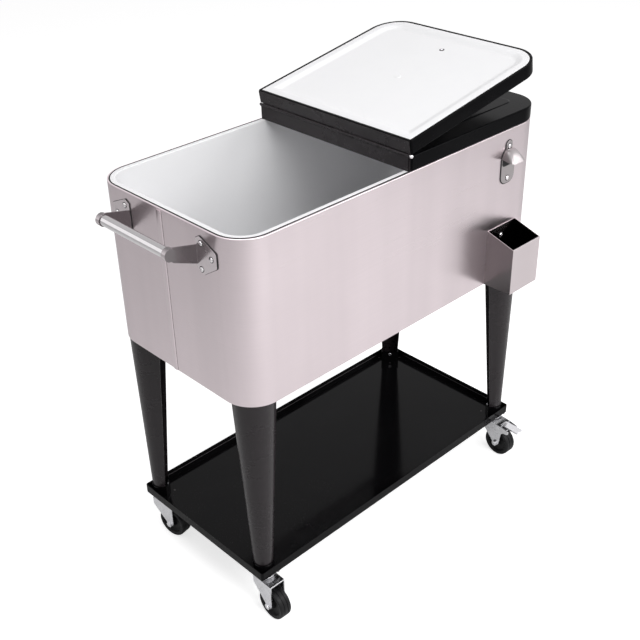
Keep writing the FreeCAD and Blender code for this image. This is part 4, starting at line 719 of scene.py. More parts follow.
# ---------- the tub
@dataclass
class Tub:
    """The wrapped shell with its hem and lap seam, the gasket in its groove and the white liner."""

    corner: float = 60.0 * MM
    sheet: float = 1.0 * MM
    lower_edge: float = 0.3 * MM
    hem_width: float = 3.6 * MM
    hem_height: float = 3.0 * MM
    hem_radius: float = 1.5 * MM
    gasket: Point2 = (3.75 * MM, 5.25 * MM)
    gasket_depth: float = 5.0 * MM
    rim: Point2 = (5.5 * MM, 14.6 * MM)
    rim_edge: float = 0.3 * MM
    lip: float = 1.6 * MM
    liner_wall: float = 2.0 * MM
    liner_depth: float = 272.0 * MM
    draft: float = 2.0
    floor_radius: float = 26.0 * MM
    drain_hole: float = 11.2 * MM
    drain_x: float = -230.0 * MM
    seam_width: float = 14.0 * MM
    seam_sheet: float = 1.5 * MM
    seam_chamfer: float = 1.2 * MM
    seam_fade: float = 6.0 * MM
    seam_gap: float = 0.7 * MM
    seam_sunk: float = 0.2 * MM

    def rings(self, profile: Sequence[Point2]) -> list[Ring]:
        """The tub's outline along a profile.

        Args:
            profile: how far it is drawn in and its height above the floor, in metres.

        Returns:
            A ring for each point.
        """
        rings = []
        for inset, height in profile:
            sides = [(SHELL_LOW[axis] + inset, SHELL_HIGH[axis] - inset) for axis in (0, 1)]
            radius = max(self.corner - inset, 0.5 * MM)
            rings.append([Vector((x, y, height)) for x, y in outline(*sides, [radius] * 4, 16)])
        return rings

    def shell(self) -> None:
        """The steel skin: hemmed over a wire above, with a broken edge below."""
        low, edge, radius, sheet = SHELL_LOW[2], self.lower_edge, self.hem_radius, self.sheet
        under = RIM - self.hem_height
        profile = [(0.0, low + edge), (0.0, RIM - radius)]
        profile += arc((radius, RIM - radius), radius, 180, 90, 6)[1:]
        profile += arc((self.hem_width - radius, RIM - radius), radius, 90, 0, 6)
        profile += [(self.hem_width, under), (sheet, under - 0.2 * MM), (sheet, low + edge),
                    (sheet * 0.7, low), (sheet * 0.3, low)]
        piece = skinned("shell_skin", self.rings(profile), "shell_steel", closed=True)
        seat(piece, "cart", "shell_steel", "outer_shell")

    def seam(self) -> None:
        """The flap of the sheet that laps over its own end on the left, and a black strip at its edge
        that paints the shadow line there.
        """
        wall, edge, sunk = SHELL_LOW[0], MIDDLE_Y + self.seam_width, self.seam_sunk
        low, high = SHELL_LOW[2] + 0.2 * MM, RIM - self.hem_height - 1.0 * MM
        flap = [(wall + sunk, edge), (wall + sunk, MIDDLE_Y), (wall - 0.3 * MM, MIDDLE_Y),
                (wall - self.seam_sheet, MIDDLE_Y + self.seam_chamfer),
                (wall - self.seam_sheet, edge - self.seam_fade), (wall - 0.1 * MM, edge - 0.5 * MM)]
        # a black strip of painted shadow along the flap's edge
        bead = arc((wall, MIDDLE_Y - self.seam_gap / 2), self.seam_gap / 2, 90, 270, 6)
        shadow_strip = [(wall + (x - wall) * 0.3, y) for x, y in bead] + [(wall + sunk, MIDDLE_Y)]
        for name, finish, section, sharp in (("lap_seam", "shell_steel", flap, 20.0),
                                             ("seam_sealant", "gasket_rubber", shadow_strip, 38.0)):
            rings = [[Vector((x, y, z)) for x, y in section] for z in (low, (low + high) / 2, high)]
            seat(skinned(name, rings, finish, sharp=sharp), "cart", finish)

    def strip(self) -> None:
        """The rubber strip between hem and liner, with a rounded crown."""
        low, high = self.gasket
        half = (high - low) / 2
        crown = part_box("rim_gasket")[1][2] - half
        profile = [(low, RIM - self.gasket_depth), *arc((low + half, crown), half, 180, 0, 8),
                   (high, RIM - self.gasket_depth)]
        piece = skinned("gasket_strip", self.rings(profile), "gasket_rubber", closed=True)
        seat(piece, "cart", "gasket_rubber", "rim_gasket")

    def liner_line(self, offset: float) -> list[Point2]:
        """The liner's line from its flange to the edge of its flat floor.

        Args:
            offset: how far outside the inner face the line runs.

        Returns:
            (inset, height) pairs.
        """
        outer, opening = self.rim
        edge, radius = self.rim_edge, self.floor_radius
        floor = RIM - self.liner_depth
        lip = max(self.lip - offset, edge)
        line = [(outer, RIM - edge - offset), (outer + edge, RIM - offset)]
        line += arc((opening - lip - offset, RIM - lip - offset), lip, 90, self.draft, 5)
        foot = opening + (self.liner_depth - radius) * math.tan(math.radians(self.draft))
        line += arc((foot + radius, floor + radius), radius + offset, 180 + self.draft, 270, 12)
        return line

    def liner(self) -> None:
        """The white liner: a soft lip, drafted walls and a rounded floor with a hole for the drain."""
        inside, outside = (self.rings(self.liner_line(offset)) for offset in (0.0, self.liner_wall))
        hole = self.drain_hole
        sides = [(middle - hole, middle + hole) for middle in (self.drain_x, MIDDLE_Y)]
        loop = outline(*sides, [hole] * 4, 16)
        holes = [[Vector((x, y, floor[0].z)) for x, y in loop] for floor in (inside[-1], outside[-1])]
        piece = skinned("liner_tub", inside + holes + outside[::-1], "white_plastic", True, 50)
        seat(piece, "cart", "white_plastic", "inner_liner")

    def build(self) -> None:
        """Make the tub."""
        self.shell()
        self.seam()
        self.strip()
        self.liner()


# ---------- lids
@dataclass
class Lid:
    """One lid, drawn closed about the hinge axis with +X towards its free edge, then turned to rest."""

    side: str
    place: Matrix
    gap: float = 2.6 * MM
    corner: float = 60.0 * MM
    inner_corner: float = 4.0 * MM
    top: float = -1.0 * MM
    skirt: float = 26.0 * MM
    sheet: float = 1.0 * MM
    bend: float = 1.5 * MM
    hem: float = 5.4 * MM
    hem_height: float = 3.0 * MM
    hem_edge: float = 0.6 * MM
    edge_radius: float = 2.6 * MM
    panel_inset: float = 42.0 * MM
    panel_corner: float = 18.0 * MM
    panel_height: float = 1.0 * MM
    panel_slope: float = 2.4 * MM
    panel_flat: float = 6.0 * MM
    pan_depth: float = 7.0 * MM
    pan_edge: float = 1.2 * MM
    border: float = 12.0 * MM
    slope: float = 16.0 * MM
    recess: float = 4.5 * MM
    knob_x: float = 312.0 * MM
    knob_height: float = 25.8 * MM
    cap_x: float = 183.0 * MM

    @property
    def body(self) -> str:
        """The CAD body that the lid is."""
        return f"{self.side}_lid"

    @property
    def low(self) -> float:
        """The height of the skirt's lower edge."""
        return self.top - self.skirt

    def ring(self, inset: float, height: float, radius: float = 0.0) -> Ring:
        """The lid's outline at a height.

        Args:
            inset: how far it is drawn in.
            height: its height above the hinge axis.
            radius: the radius of all its corners, where it isn't the lid's own.

        Returns:
            The ring, turned to rest.
        """
        half = (SHELL_HIGH[1] - SHELL_LOW[1]) / 2 - inset
        own = [max(corner - inset, 0.4 * MM) for corner in (self.inner_corner, self.corner)]
        radii = [radius] * 4 if radius else [own[0], own[1], own[1], own[0]]
        loop = outline((self.gap + inset, SHELL_HIGH[0] - inset), (-half, half), radii, 14)
        return [self.place @ Vector((x, y, height)) for x, y in loop]

    def panel_ring(self, grown: float, height: float) -> Ring:
        """The raised panel's outline, grown all round, at a height."""
        return self.ring(self.panel_inset - grown, height, self.panel_corner + grown)

    def cover(self) -> None:
        """The black cover: a hemmed skirt, a rounded edge and a pressed panel."""
        radius, top, low, sheet, bend = self.edge_radius, self.top, self.low, self.sheet, self.bend
        hem, edge, under = self.hem, self.hem_edge, self.top - self.sheet
        profile = [(4 * bend, under), (sheet + bend, under), (sheet, under - bend),
                   (sheet, low + self.hem_height + sheet), (hem, low + self.hem_height),
                   (hem, low + edge), (hem - edge, low), (edge, low), (0.0, low + edge),
                   *arc((radius, top - radius), radius, 180, 90, 6)]
        rings = [self.ring(*point) for point in profile]
        for share in (0.0, 0.25, 0.5, 0.75, 1.0):
            height = top + self.panel_height * smooth_step(share)
            rings.append(self.panel_ring((0.5 - share) * self.panel_slope, height))
        rings.append(self.panel_ring(-self.panel_flat, top + self.panel_height))
        piece = skinned(f"{self.side}_cover_pressing", rings, "lid_gloss", sharp=50)
        seat(piece, self.body, "black_gloss", f"{self.side}_lid_cover")

    def under_pan(self) -> None:
        """The white under-pan: a flat border, and a slope down to a recessed panel."""
        edge, crown, steps = self.hem + 0.1 * MM, self.pan_edge, 10
        profile = [(edge, self.low + self.pan_depth)]
        profile += [(inset, self.low + crown - rise)
                    for inset, rise in arc((edge + crown, 0.0), crown, 180, 90, 4)]
        for step in range(steps + 1):
            share = step / steps
            profile.append((edge + self.border + self.slope * share,
                            self.low + self.recess * smooth_step(share)))
        profile.append((edge + self.border + self.slope * 1.5, self.low + self.recess))
        rings = [self.ring(*point) for point in profile]
        piece = skinned(f"{self.side}_pan_moulding", rings, "white_plastic", sharp=50)
        seat(piece, self.body, "white_plastic", f"{self.side}_lid_under_pan")

    def turned(self, name: str, x: float, profile: Sequence[Point2], finish: str, *nodes: str) -> None:
        """A turned piece on the lid, upright at x.

        Args:
            name: the piece's name after the lid's side.
            x: its distance from the hinge axis.
            profile: (radius, height) from pole to pole.
            finish: its finish.
            nodes: the CAD nodes it stands for, after the lid's side.
        """
        origin = self.place @ Vector((x, 0, 0))
        axis = self.place.to_3x3() @ Vector((0, 0, 1))
        piece = lathed(f"{self.side}_{name}", profile, finish, origin, axis, sharp=40)
        seat(piece, self.body, finish, *[f"{self.side}_{node}" for node in nodes])

    def knob(self) -> None:
        """The knob on the lid."""
        foot = self.top + self.panel_height
        peak = foot + self.knob_height
        profile = raised(foot, (0, 0), (9.2, 0), (9.5, 0.4), (9.5, 1.8))
        profile += arc((9.7 * MM, foot + 5.2 * MM), 3.2 * MM, 250, 180, 6)
        profile += raised(peak, (6.5, -10.5))
        profile += arc((9.4 * MM, peak - 10.5 * MM), 2.9 * MM, 180, 110, 5)[1:]
        profile += arc((10.9 * MM, peak - 5.6 * MM), 1.6 * MM, -60, 0, 4)
        profile += arc((9.6 * MM, peak - 4.1 * MM), 2.9 * MM, 0, 72, 6)
        profile += raised(peak, (7.0, -0.62), (3.6, -0.12), (0, 0))
        self.turned("knob_turning", self.knob_x, profile, "knob_black", "lid_knob")

    def under_parts(self) -> None:
        """The head of the knob's screw with a black ring of painted shade under it, and the cap of the
        hole for the foam.
        """
        face = self.low + self.recess
        screw = raised(face, (0, 2), (2, 2), (2, 0.05), (2.9, 0.05), (2.9, -1), (2.5, -1.5),
                       (1.9, -1.75), (1.3, -1.75), (1, -0.7), (0, -0.6))
        self.turned("knob_screw_head", self.knob_x, screw, "zinc", "knob_screw")
        # a black ring of painted shade round the screw's head
        painted_shade_ring = raised(face, (0, 1), (4.6, 1), (5, -0.1), (4.7, -0.5), (3, -0.7), (0, -0.5))
        self.turned("knob_screw_washer", self.knob_x, painted_shade_ring, "black_satin")
        cap = raised(face, (0, 2), (6.5, 2), (6.5, -0.3), (6.1, -0.6), (3.2, -0.6), (2.9, -0.35),
                     (0, -0.3))
        self.turned("foaming_cap", self.cap_x, cap, "white_plastic", "foam_plug")

    def build(self) -> None:
        """Make the lid."""
        self.cover()
        self.under_pan()
        self.knob()
        self.under_parts()


@dataclass
class LidPair:
    """The closed right lid, the left lid that is folded over onto it, and the cap of their hinge."""

    cap_profile: tuple[Point2, ...] = ((0, 0), (3.3, 0), (3.4, 1.2), (3, 2.6), (2, 3.7), (0, 4.2))
    cap_reach: float = 0.4 * MM

    def build(self) -> None:
        """Make the lids."""
        hinge = JOINTS["left_lid_hinge"]
        axis_place = Matrix.Translation(hinge["pos_m"])
        Lid("right", axis_place).build()
        half = math.radians(hinge["range_deg"][1]) / 2
        fold = Matrix.Rotation(math.pi, 4, Vector((math.sin(half), 0, math.cos(half))))
        Lid("left", axis_place @ fold).build()
        reach = (SHELL_HIGH[1] - SHELL_LOW[1]) / 2 + self.cap_reach
        origin = Vector(hinge["pos_m"]) - Vector((0, reach, 0))
        profile = raised(0.0, *self.cap_profile)
        piece = lathed("hinge_cap", profile, "bright_steel", origin, Vector((0, -1, 0)), 24)
        seat(piece, "cart", "bright_steel")


# ---------- end handles
@dataclass
class Handles:
    """The two bright tubes, with rounded mouths, and the rubber pads under the brackets' plates."""

    radius: float = 9.5 * MM
    wall: float = 1.2 * MM
    top_facing: float = 0.78
    top_shade: float = 0.6
    pad_growth: float = 0.8 * MM
    pad_depth: float = 1.3 * MM
    pad_edge: float = 0.3 * MM
    pad_sunk: float = 0.2 * MM

    def bar(self, side: str) -> None:
        """A tube with a painted dark reflection along its top.

        Args:
            side: left or right, the end of the cart.
        """
        low, high = (Vector(corner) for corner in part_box(f"{side}_handle_bar"))
        half = (high.y - low.y) / 2
        lip = self.wall / 2
        loop = arc((self.radius - lip, lip - half), lip, 180, 360, 6)
        loop += arc((self.radius - lip, half - lip), lip, 0, 180, 6)
        piece = lathed(f"{side}_tube", loop, "bright_steel", (low + high) / 2, Vector((0, 1, 0)), 56)
        # painted dark reflection on the faces along the tube's top
        shade(piece, lambda way: self.top_shade * (way.z > self.top_facing))
        seat(piece, "cart", "bright_steel", f"{side}_handle_bar")

    def pad(self, side: str, end: str) -> None:
        """A pad that shows as a dark line round a bracket's plate.

        Args:
            side: left or right, the end of the cart.
            end: front or rear, the end of the handle.
        """
        wall, way = (SHELL_LOW[0], -1) if side == "left" else (SHELL_HIGH[0], 1)
        mesh = frame["nodes"][f"{side}_handle_{end}_bracket"].data
        flat = [Vector(vert.co.yz) for vert in mesh.vertices if abs(vert.co.x - wall) < 0.5 * MM]
        hull = [flat[index] for index in convex_hull_2d(flat)]
        middle = sum(hull, Vector((0, 0))) / len(hull)
        depth, grown, edge = self.pad_depth, self.pad_growth, self.pad_edge
        rings = []
        for out, growth in ((-self.pad_sunk, grown), (depth - edge, grown), (depth, grown - edge)):
            ring = [point + (point - middle).normalized() * growth for point in hull]
            rings.append([Vector((wall + way * out, point.x, point.y)) for point in ring])
        seat(skinned(f"{side}_{end}_bracket_pad", rings, "gasket_rubber"), "cart", "gasket_rubber")

    def build(self) -> None:
        """Make the tubes, then the pads."""
        for side in ("left", "right"):
            self.bar(side)
        for side in ("left", "right"):
            for end in ("front", "rear"):
                self.pad(side, end)


# ---------- opener
@dataclass
class Opener:
    """The wall opener: a plate with an ear, a canopy that swells out of it, a tooth, its rubber, a dark
    pad of painted shadow under the canopy and painted shade on faces that look left or down.
    """

    middle: float = 277.0 * MM
    top: float = 776.0 * MM
    bottom: float = 691.0 * MM
    sheet: float = 2.0 * MM
    ear: float = 9.5 * MM
    neck: float = 6.0 * MM
    neck_drop: float = 22.0 * MM
    shoulder: float = 5.0 * MM
    shoulder_drop: float = 37.0 * MM
    half_width: float = 20.0 * MM
    corner: float = 15.0 * MM
    root: float = 760.5 * MM
    lip: float = 743.5 * MM
    droop: float = 4.5 * MM
    root_half: float = 7.8 * MM
    root_reach: float = 2.2 * MM
    mouth_half: float = 20.5 * MM
    reach: float = 26.0 * MM
    swell: float = 0.5
    root_power: float = 2.3
    lip_power: float = 5.2
    hood_sheet: float = 1.7 * MM
    shadow_pad_half: float = 18.5 * MM
    shadow_pad_heights: Point2 = (727.0 * MM, 748.0 * MM)
    shadow_pad_corner: float = 6.0 * MM
    shadow_pad_taper: float = 0.3 / 18
    left_shade: float = 0.75
    under_shade: float = 0.9
    inside_shade: float = 0.85

    @property
    def face(self) -> float:
        """The y of the plate's front face."""
        return SHELL_LOW[1] - self.sheet

    def plate_rings(self, *depths: Point2) -> list[Ring]:
        """The plate's outline at some depths.

        Args:
            depths: its distance off the wall and its shrinkage, both in millimetres.

        Returns:
            A ring for each depth.
        """
        side, corner, shoulder = self.half_width, self.corner, self.shoulder
        right = arc((self.ear + self.neck, self.top - self.neck_drop), self.neck, 160, 235, 5)
        right += arc((side - shoulder, self.top - self.shoulder_drop), shoulder, 60, 0, 5)
        right += arc((side - corner, self.bottom + corner), corner, 0, -90, 10)
        loop = arc((0.0, self.top - self.ear), self.ear, 200, -20, 18) + right
        loop += [(-x, z) for x, z in right[::-1]]
        middle = Vector((0.0, (self.top + self.bottom) / 2))
        rings = []
        for depth, shrink in depths:
            ring = []
            for x, z in loop:
                way = (Vector((x, z)) - middle).normalized() * shrink * MM
                ring.append(Vector((self.middle + x - way.x, SHELL_LOW[1] - depth * MM, z - way.y)))
            rings.append(ring)
        return rings

    def rubber(self) -> None:
        """The rubber pad behind the plate, and a dark pad under the canopy that paints the shadow there.
        """
        bm = bmesh.new()
        skin(bm, self.plate_rings((-0.2, -1.3), (1.0, -1.3), (1.4, -0.8)))
        # a dark pad of painted shadow on the plate under the canopy
        radii = [self.shadow_pad_corner, self.shadow_pad_corner, MM, MM]
        loop = outline((-self.shadow_pad_half, self.shadow_pad_half), self.shadow_pad_heights, radii, 6)
        rings = []
        for depth, share in ((-0.2, 1.0), (0.2, 1.0), (0.4, 1 - self.shadow_pad_taper)):
            rings.append([Vector((self.middle + x * share, self.face - depth * MM, z)) for x, z in loop])
        skin(bm, rings)
        seat(new_piece("opener_rubber", bm, "gasket_rubber"), "cart", "gasket_rubber")

    def hood_ring(self, share: float, inset: float) -> Ring:
        """A line of the canopy from wall to wall.

        Args:
            share: 0 at the root, 1 at the lip.
            inset: how far inside the outer face it runs.

        Returns:
            Its points.
        """
        grown = share ** self.swell
        half = self.root_half + (self.mouth_half - self.root_half) * grown - inset
        reach = self.root_reach + (self.reach - self.root_reach) * grown - inset
        height = self.root + (self.lip - self.root) * share - inset * (1 - share)
        power = 2 / (self.root_power + (self.lip_power - self.root_power) * share)
        points = []
        steps = 36
        for step in range(steps + 1):
            angle = math.pi * step / steps
            across = math.copysign(abs(math.cos(angle)) ** power, math.cos(angle))
            out = math.sin(angle) ** power
            points.append(Vector((self.middle - half * across, self.face + 0.5 * MM - reach * out,
                                  height - self.droop * share * out)))
        return points

    def hood(self, bm: bmesh.types.BMesh) -> None:
        """The canopy with its own thickness and a rounded lip.

        Args:
            bm: the mesh to add to.
        """
        shares = [step / 12 for step in range(13)]
        outer = [self.hood_ring(share, 0.0) for share in shares]
        inner = [self.hood_ring(share, self.hood_sheet) for share in shares[::-1]]
        bulge = Vector((0, 0, -0.5 * MM))
        lip = [(first + last) / 2 + bulge for first, last in zip(outer[-1], inner[0])]
        skin(bm, outer + [lip] + inner, closed=True)

    def tooth(self, bm: bmesh.types.BMesh) -> None:
        """The tooth that catches the cap's edge.

        Args:
            bm: the mesh to add to.
        """
        rings = []
        for depth, half, low, high in ((-0.5, 6.0, 745.0, 750.0), (5.0, 6.0, 745.4, 749.0),
                                       (8.0, 5.4, 744.0, 746.4)):
            corners = ((-half, low), (half, low), (half, high), (-half, high))
            y = self.face - depth * MM
            rings.append([Vector((self.middle + x * MM, y, z * MM)) for x, z in corners])
        skin(bm, rings)

    def depth(self, way: Vector) -> float:
        """The painted shade of a face: darker the more it looks to the left or down."""
        return min(1.0, self.left_shade * max(0.0, -way.x) + self.under_shade * max(0.0, -way.z))

    def build(self) -> None:
        """Make the opener."""
        bm = bmesh.new()
        skin(bm, self.plate_rings((0.0, 0.0), (1.3, 0.0), (1.8, 0.35), (2.0, 0.9)))
        self.hood(bm)
        self.tooth(bm)
        piece = new_piece("opener_pressing", bm, "opener_steel", 42)
        # painted shade on faces that look left or down, and on faces inside the canopy
        shade(piece, self.depth, self.inside_shade)
        seat(piece, "cart", "opener_steel", "bottle_opener")
        self.rubber()


# ---------- shelf, wheels
@dataclass
class ShelfHems:
    """The strips of the shelf's lips that are folded over inwards, and the bead along each fold."""

    lip: float = 18.0 * MM
    sheet: float = 1.5 * MM
    drop: float = 8.5 * MM
    top_gap: float = 0.4 * MM
    sunk: float = 0.3 * MM
    fold_sheet: float = 0.8 * MM
    bead: float = 1.1 * MM
    clear: float = 2.0 * MM

    def build(self) -> None:
        """Make the folds and the beads, between the legs' sockets."""
        low, high = (Vector(corner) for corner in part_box("shelf_tray"))
        top = low.z + self.lip
        posts = [vert.co for vert in frame["nodes"]["shelf_tray"].data.vertices if vert.co.z > top + MM]
        drop, sunk, sheet = self.drop, -self.sunk, self.fold_sheet
        fold = [(sunk, self.top_gap), (sheet, self.top_gap), (1.0 * MM, drop), (sunk, drop)]
        bead = [(sunk, drop - sheet), *arc((sheet, drop), self.bead, -60, 90, 8),
                (sunk, drop + self.bead)]
        half_x, half_y = high.x - self.sheet, high.y - MIDDLE_Y - self.sheet
        free_x = min(abs(post.x) for post in posts) - self.clear
        free_y = min(abs(post.y - MIDDLE_Y) for post in posts) - self.clear
        for name, finish, section in (("folds", "black_gloss", fold), ("beads", "black_satin", bead)):
            bm = bmesh.new()
            for way in (-1, 1):
                skin(bm, [[Vector((run, MIDDLE_Y + way * (half_y - inward), top - down))
                           for inward, down in section] for run in (-free_x, 0.0, free_x)])
                skin(bm, [[Vector((way * (half_x - inward), MIDDLE_Y + run, top - down))
                           for inward, down in section] for run in (-free_y, 0.0, free_y)])
            seat(new_piece(f"shelf_{name}", bm, finish), "cart", finish)


@dataclass
class Wheels:
    """The moulded wheels: a hub, a dished web and a tread with a groove; sizes in millimetres."""

    half: float = 12.75
    rim: float = 32.5
    groove: float = 1.1

    def build(self) -> None:
        """Make the four wheels."""
        half, rim, floor = self.half, self.rim, self.rim - self.groove
        side = [(4.1, 0.0), (4.1, 14.5), (4.5, 14.7), (8.4, 14.7), (9.1, 14.1), (9.6, 9.4),
                (10.4, 7.0), (12.0, 6.2), (20.5, 6.2), (22.6, 7.2), (23.6, 9.5), (24.2, 11.4),
                (25.4, 12.2), (26.0, 12.2), (26.3, 11.8), (26.9, 11.8), (27.2, 12.3), (29.5, half),
                (31.2, half - 0.7), (32.2, half - 2.2), (rim, half - 4.0), (rim, 4.9), (floor, 4.5),
                (floor, 3.7), (rim, 3.3)]
        across = [(radius, -x) for radius, x in side] + [(rim, 0.0)] + side[:0:-1]
        profile = raised(0.0, *across)
        for corner in ("front_left", "front_right", "rear_left", "rear_right"):
            spin, wheel = JOINTS[f"{corner}_wheel_spin"], f"{corner}_wheel"
            origin, axis = Vector(spin["pos_m"]), Vector(spin["axis"])
            piece = lathed(f"{corner}_tyre", profile, "wheel_black", origin, axis, 72, 30)
            seat(piece, wheel, "wheel_black", wheel)


# ---------- fasteners
def solids_of(node: str) -> list[Ring]:
    """Take a CAD node's mesh apart.

    Args:
        node: the CAD node.

    Returns:
        The corners of each separate solid.
    """
    bm = merged(node)
    seen, found = set(), []
    for start in bm.verts:
        edge, solid = [start], []
        while edge:
            vert = edge.pop()
            if vert not in seen:
                seen.add(vert)
                solid.append(vert.co.copy())
                edge += [link.other_vert(vert) for link in vert.link_edges]
        if solid:
            found.append(solid)
    bm.free()
    return found


def to_end(place: Vector) -> Vector:
    """The direction out of the cart's nearer end."""
    return Vector((math.copysign(1, place.x), 0, 0))


def to_front(_place: Vector) -> Vector:
    """The direction out of the cart's front."""
    return Vector((0, -1, 0))


def from_leg(place: Vector) -> Vector:
    """The way a leg screw's head faces: to the cart's middle at the foot, and down under the tub."""
    level = Vector((-math.copysign(1, place.x), -math.copysign(1, place.y - MIDDLE_Y), 0)).normalized()
    return level if place.z < SHELL_LOW[2] / 2 else Vector((0, 0, -1))


def blind_rivet(radius: float, height: float) -> list[Point2]:
    """The profile of a domed head with the hole that its pulled stem leaves.

    Args:
        radius: the head's radius.
        height: the head's height.

    Returns:
        (radius, height) from pole to pole.
    """
    dome = [(radius * math.cos(math.radians(a)), height * math.sin(math.radians(a)))
            for a in range(0, 73, 9)]
    hole = radius * 0.3
    return [(0.0, -2.2 * MM), (radius * 0.5, -2.2 * MM), (radius * 0.5, 0.0), (radius * 0.98, 0.0),
            *dome[1:], (hole, dome[-1][1]), (hole * 0.92, height * 0.45), (0.0, height * 0.4)]


def ring_under(radius: float) -> list[Point2]:
    """The profile of a thin sealing ring that shows round a head."""
    return [(0.0, -0.4 * MM), (radius + 0.9 * MM, -0.4 * MM), (radius + 1.1 * MM, 0.1 * MM),
            (radius + 0.9 * MM, 0.4 * MM), (0.0, 0.45 * MM)]


def hexagon_head(radius: float, height: float) -> list[Point2]:
    """The profile of a bolt's head, which six sides turn into a hexagon."""
    return [(0.0, -2.4 * MM), (radius * 0.5, -2.4 * MM), (radius * 0.5, 0.0), (radius, 0.0),
            (radius, height * 0.78), (radius * 0.86, height), (0.0, height)]


@dataclass
class Fasteners:
    """The heads of one node, or the rings under them, which geometry nodes set from one master."""

    node: str
    finish: str
    profile: Sequence[Point2]
    height: float
    way: Callable[[Vector], Vector]
    sides: int = 32
    kind: str = "heads"
    seed: int = 3

    def places(self) -> bpy.types.Object:
        """Mark where the heads sit.

        Returns:
            A mesh of points that know which way the heads face.
        """
        points, ways = [], []
        for solid in solids_of(self.node):
            middle = sum(solid, Vector()) / len(solid)
            way = self.way(middle)
            top = max(corner.dot(way) for corner in solid)
            points.append(middle + way * (top - self.height - middle.dot(way)))
            ways.extend(way)
        mesh = bpy.data.meshes.new(f"{self.node}_places")
        mesh.from_pydata(points, [], [])
        mesh.attributes.new("way", "FLOAT_VECTOR", "POINT").data.foreach_set("vector", ways)
        return new_object(f"{self.node}_{self.kind}", mesh)

    @staticmethod
    def group() -> bpy.types.NodeTree:
        """The geometry nodes: turn a head to each point's way, spin it, make it real, paint it.

        Returns:
            The tree, for a modifier.
        """
        tree = bpy.data.node_groups.new("set_heads", "GeometryNodeTree")
        tree.is_modifier = True
        graph = Graph(tree)
        given = {}
        kinds = {"Places": "Geometry", "Head": "Object", "Finish": "Material", "Seed": "Int"}
        for name, kind in kinds.items():
            tree.interface.new_socket(name, in_out="INPUT", socket_type=f"NodeSocket{kind}")
            given[name] = graph.node("NodeGroupInput", output=name)
        tree.interface.new_socket("Heads", in_out="OUTPUT", socket_type="NodeSocketGeometry")
        head = graph.node("GeometryNodeObjectInfo", None, {"Object": given["Head"]}, "Geometry")
        way = graph.node("GeometryNodeInputNamedAttribute", {"data_type": "FLOAT_VECTOR"},
                         {"Name": "way"}, "Attribute")
        chance = graph.node("FunctionNodeRandomValue", {"data_type": "FLOAT"},
                            {"Max": 2 * math.pi, "Seed": given["Seed"]}, "Value")
        aim = graph.node("FunctionNodeAlignRotationToVector", {"axis": "Z"}, {"Vector": way})
        spin = graph.node("FunctionNodeAxisAngleToRotation", None, {"Axis": (0, 0, 1), "Angle": chance})
        turn = graph.node("FunctionNodeRotateRotation", {"rotation_space": "LOCAL"},
                          {"Rotation": aim, "Rotate By": spin})
        heads = graph.node("GeometryNodeInstanceOnPoints", None,
                           {"Points": given["Places"], "Instance": head, "Rotation": turn})
        real = graph.node("GeometryNodeRealizeInstances", None, {"Geometry": heads})
        painted = graph.node("GeometryNodeSetMaterial", None,
                             {"Geometry": real, "Material": given["Finish"]})
        graph.node("NodeGroupOutput", None, {"Heads": painted})
        return tree

    def build(self, tree: bpy.types.NodeTree) -> None:
        """Set the heads.

        Args:
            tree: the geometry nodes that group() made.
        """
        piece = self.places()
        master = lathed(f"{self.node}_master", self.profile, self.finish, Vector(), Vector((0, 0, 1)),
                        self.sides, 35)
        modifier = piece.modifiers.new("heads", "NODES")
        modifier.node_group = tree
        inputs = {"Head": master, "Finish": MATERIALS[self.finish], "Seed": self.seed}
        for socket in tree.interface.items_tree:
            if socket.name in inputs:
                modifier[socket.identifier] = inputs[socket.name]
        bpy.context.view_layer.update()
        made = piece.evaluated_get(bpy.context.evaluated_depsgraph_get())
        mesh = bpy.data.meshes.new_from_object(made)
        piece.modifiers.clear()
        piece.data = mesh
        bpy.data.objects.remove(master)
        seat(piece, "cart", self.finish, *[self.node] * (self.kind == "heads"))


def build_fasteners() -> None:
    """The heads of rivets, screws and bolts, and the rings under those on the shell."""
    tree = Fasteners.group()
    for node, radius, height, way in (("handle_rivets", 4.4 * MM, 2.2 * MM, to_end),
                                      ("face_screws", 4.6 * MM, 2.4 * MM, to_front)):
        Fasteners(node, "bright_steel", blind_rivet(radius, height), height, way).build(tree)
        Fasteners(node, "gasket_rubber", ring_under(radius), height, way, kind="rings").build(tree)
    Fasteners("leg_screws", "zinc", hexagon_head(4.0 * MM, 1.6 * MM), 2.8 * MM, from_leg, 6).build(tree)


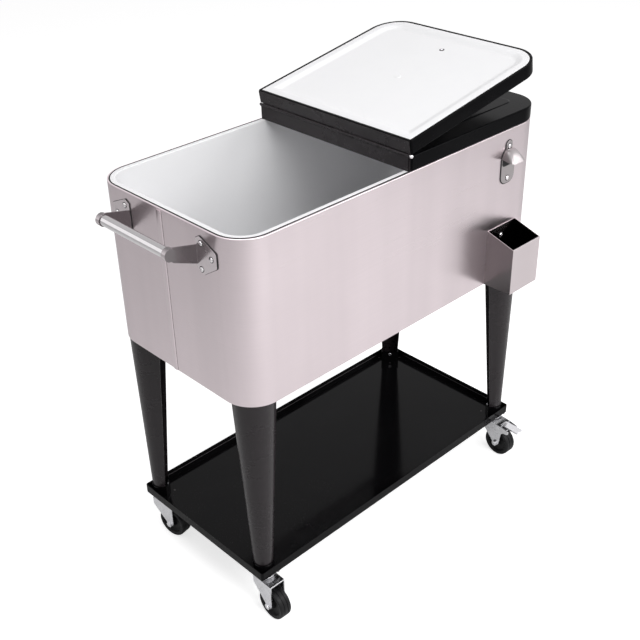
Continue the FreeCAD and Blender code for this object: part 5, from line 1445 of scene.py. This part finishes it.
# ---------- CAD nodes
# how much painted shade the brackets' arms, the catcher's left faces and the forks' tops get
FACING = 0.8
BRACKET_SHADE, CATCHER_SHADE, FORK_SHADE = 0.95, 0.72, 0.85


def softened(node: str) -> bpy.types.Object:
    """A piece with a CAD node's shape whose edges are broken.

    Args:
        node: the CAD node.

    Returns:
        The piece.
    """
    bm = merged(node)
    bmesh.ops.dissolve_limit(bm, angle_limit=FLAT_ANGLE, verts=bm.verts, edges=bm.edges)
    piece = new_piece(f"{node}_soft", bm, SLOTS[node], point_out=False)
    bevel = piece.modifiers.new("broken_edges", "BEVEL")
    bevel.width = SOFT_EDGE
    bevel.segments = 2
    bevel.limit_method = "ANGLE"
    bevel.angle_limit = EDGE_ANGLE
    bevel.use_clamp_overlap = True
    bevel.miter_outer = "MITER_ARC"
    piece.modifiers.move(1, 0)
    seat(piece, BODIES[node], SLOTS[node], node)
    return piece


def dress_nodes() -> None:
    """Break the edges of the CAD nodes that keep their shape, give the foam its finish, and paint shade
    onto the brackets, the catcher and the forks.
    """
    for name, node in frame["nodes"].items():
        if node.hide_render:
            continue
        if SLOTS[name] == "foam":
            node.data.materials.clear()
            node.data.materials.append(MATERIALS["foam"])
            continue
        piece = softened(name)
        if SLOTS[name] == "bracket_steel":
            # painted shade on the brackets' arms, the faces that don't look along x
            shade(piece, lambda way: BRACKET_SHADE * (1 - way.x * way.x))
        elif SLOTS[name] == "catcher_steel":
            # painted shade on the catcher's left-facing faces; its inside is drawn nearly black
            shade(piece, lambda way: CATCHER_SHADE * (way.x < -FACING), 1.0)
        elif name.endswith("fork"):
            # painted dark reflection on the forks' upward faces
            shade(piece, lambda way: FORK_SHADE * (way.z > FACING))


def main() -> None:
    """Build the studio and the cart."""
    logging.basicConfig(level=logging.INFO, format="%(name)s: %(message)s")
    for slot_name, finish in FINISHES.items():
        MATERIALS[slot_name] = finish.build()
    for assembly in (Studio(), Tub(), LidPair(), Handles(), Opener(), ShelfHems(), Wheels()):
        assembly.build()
    build_fasteners()
    dress_nodes()


if __name__ == "__main__":
    main()
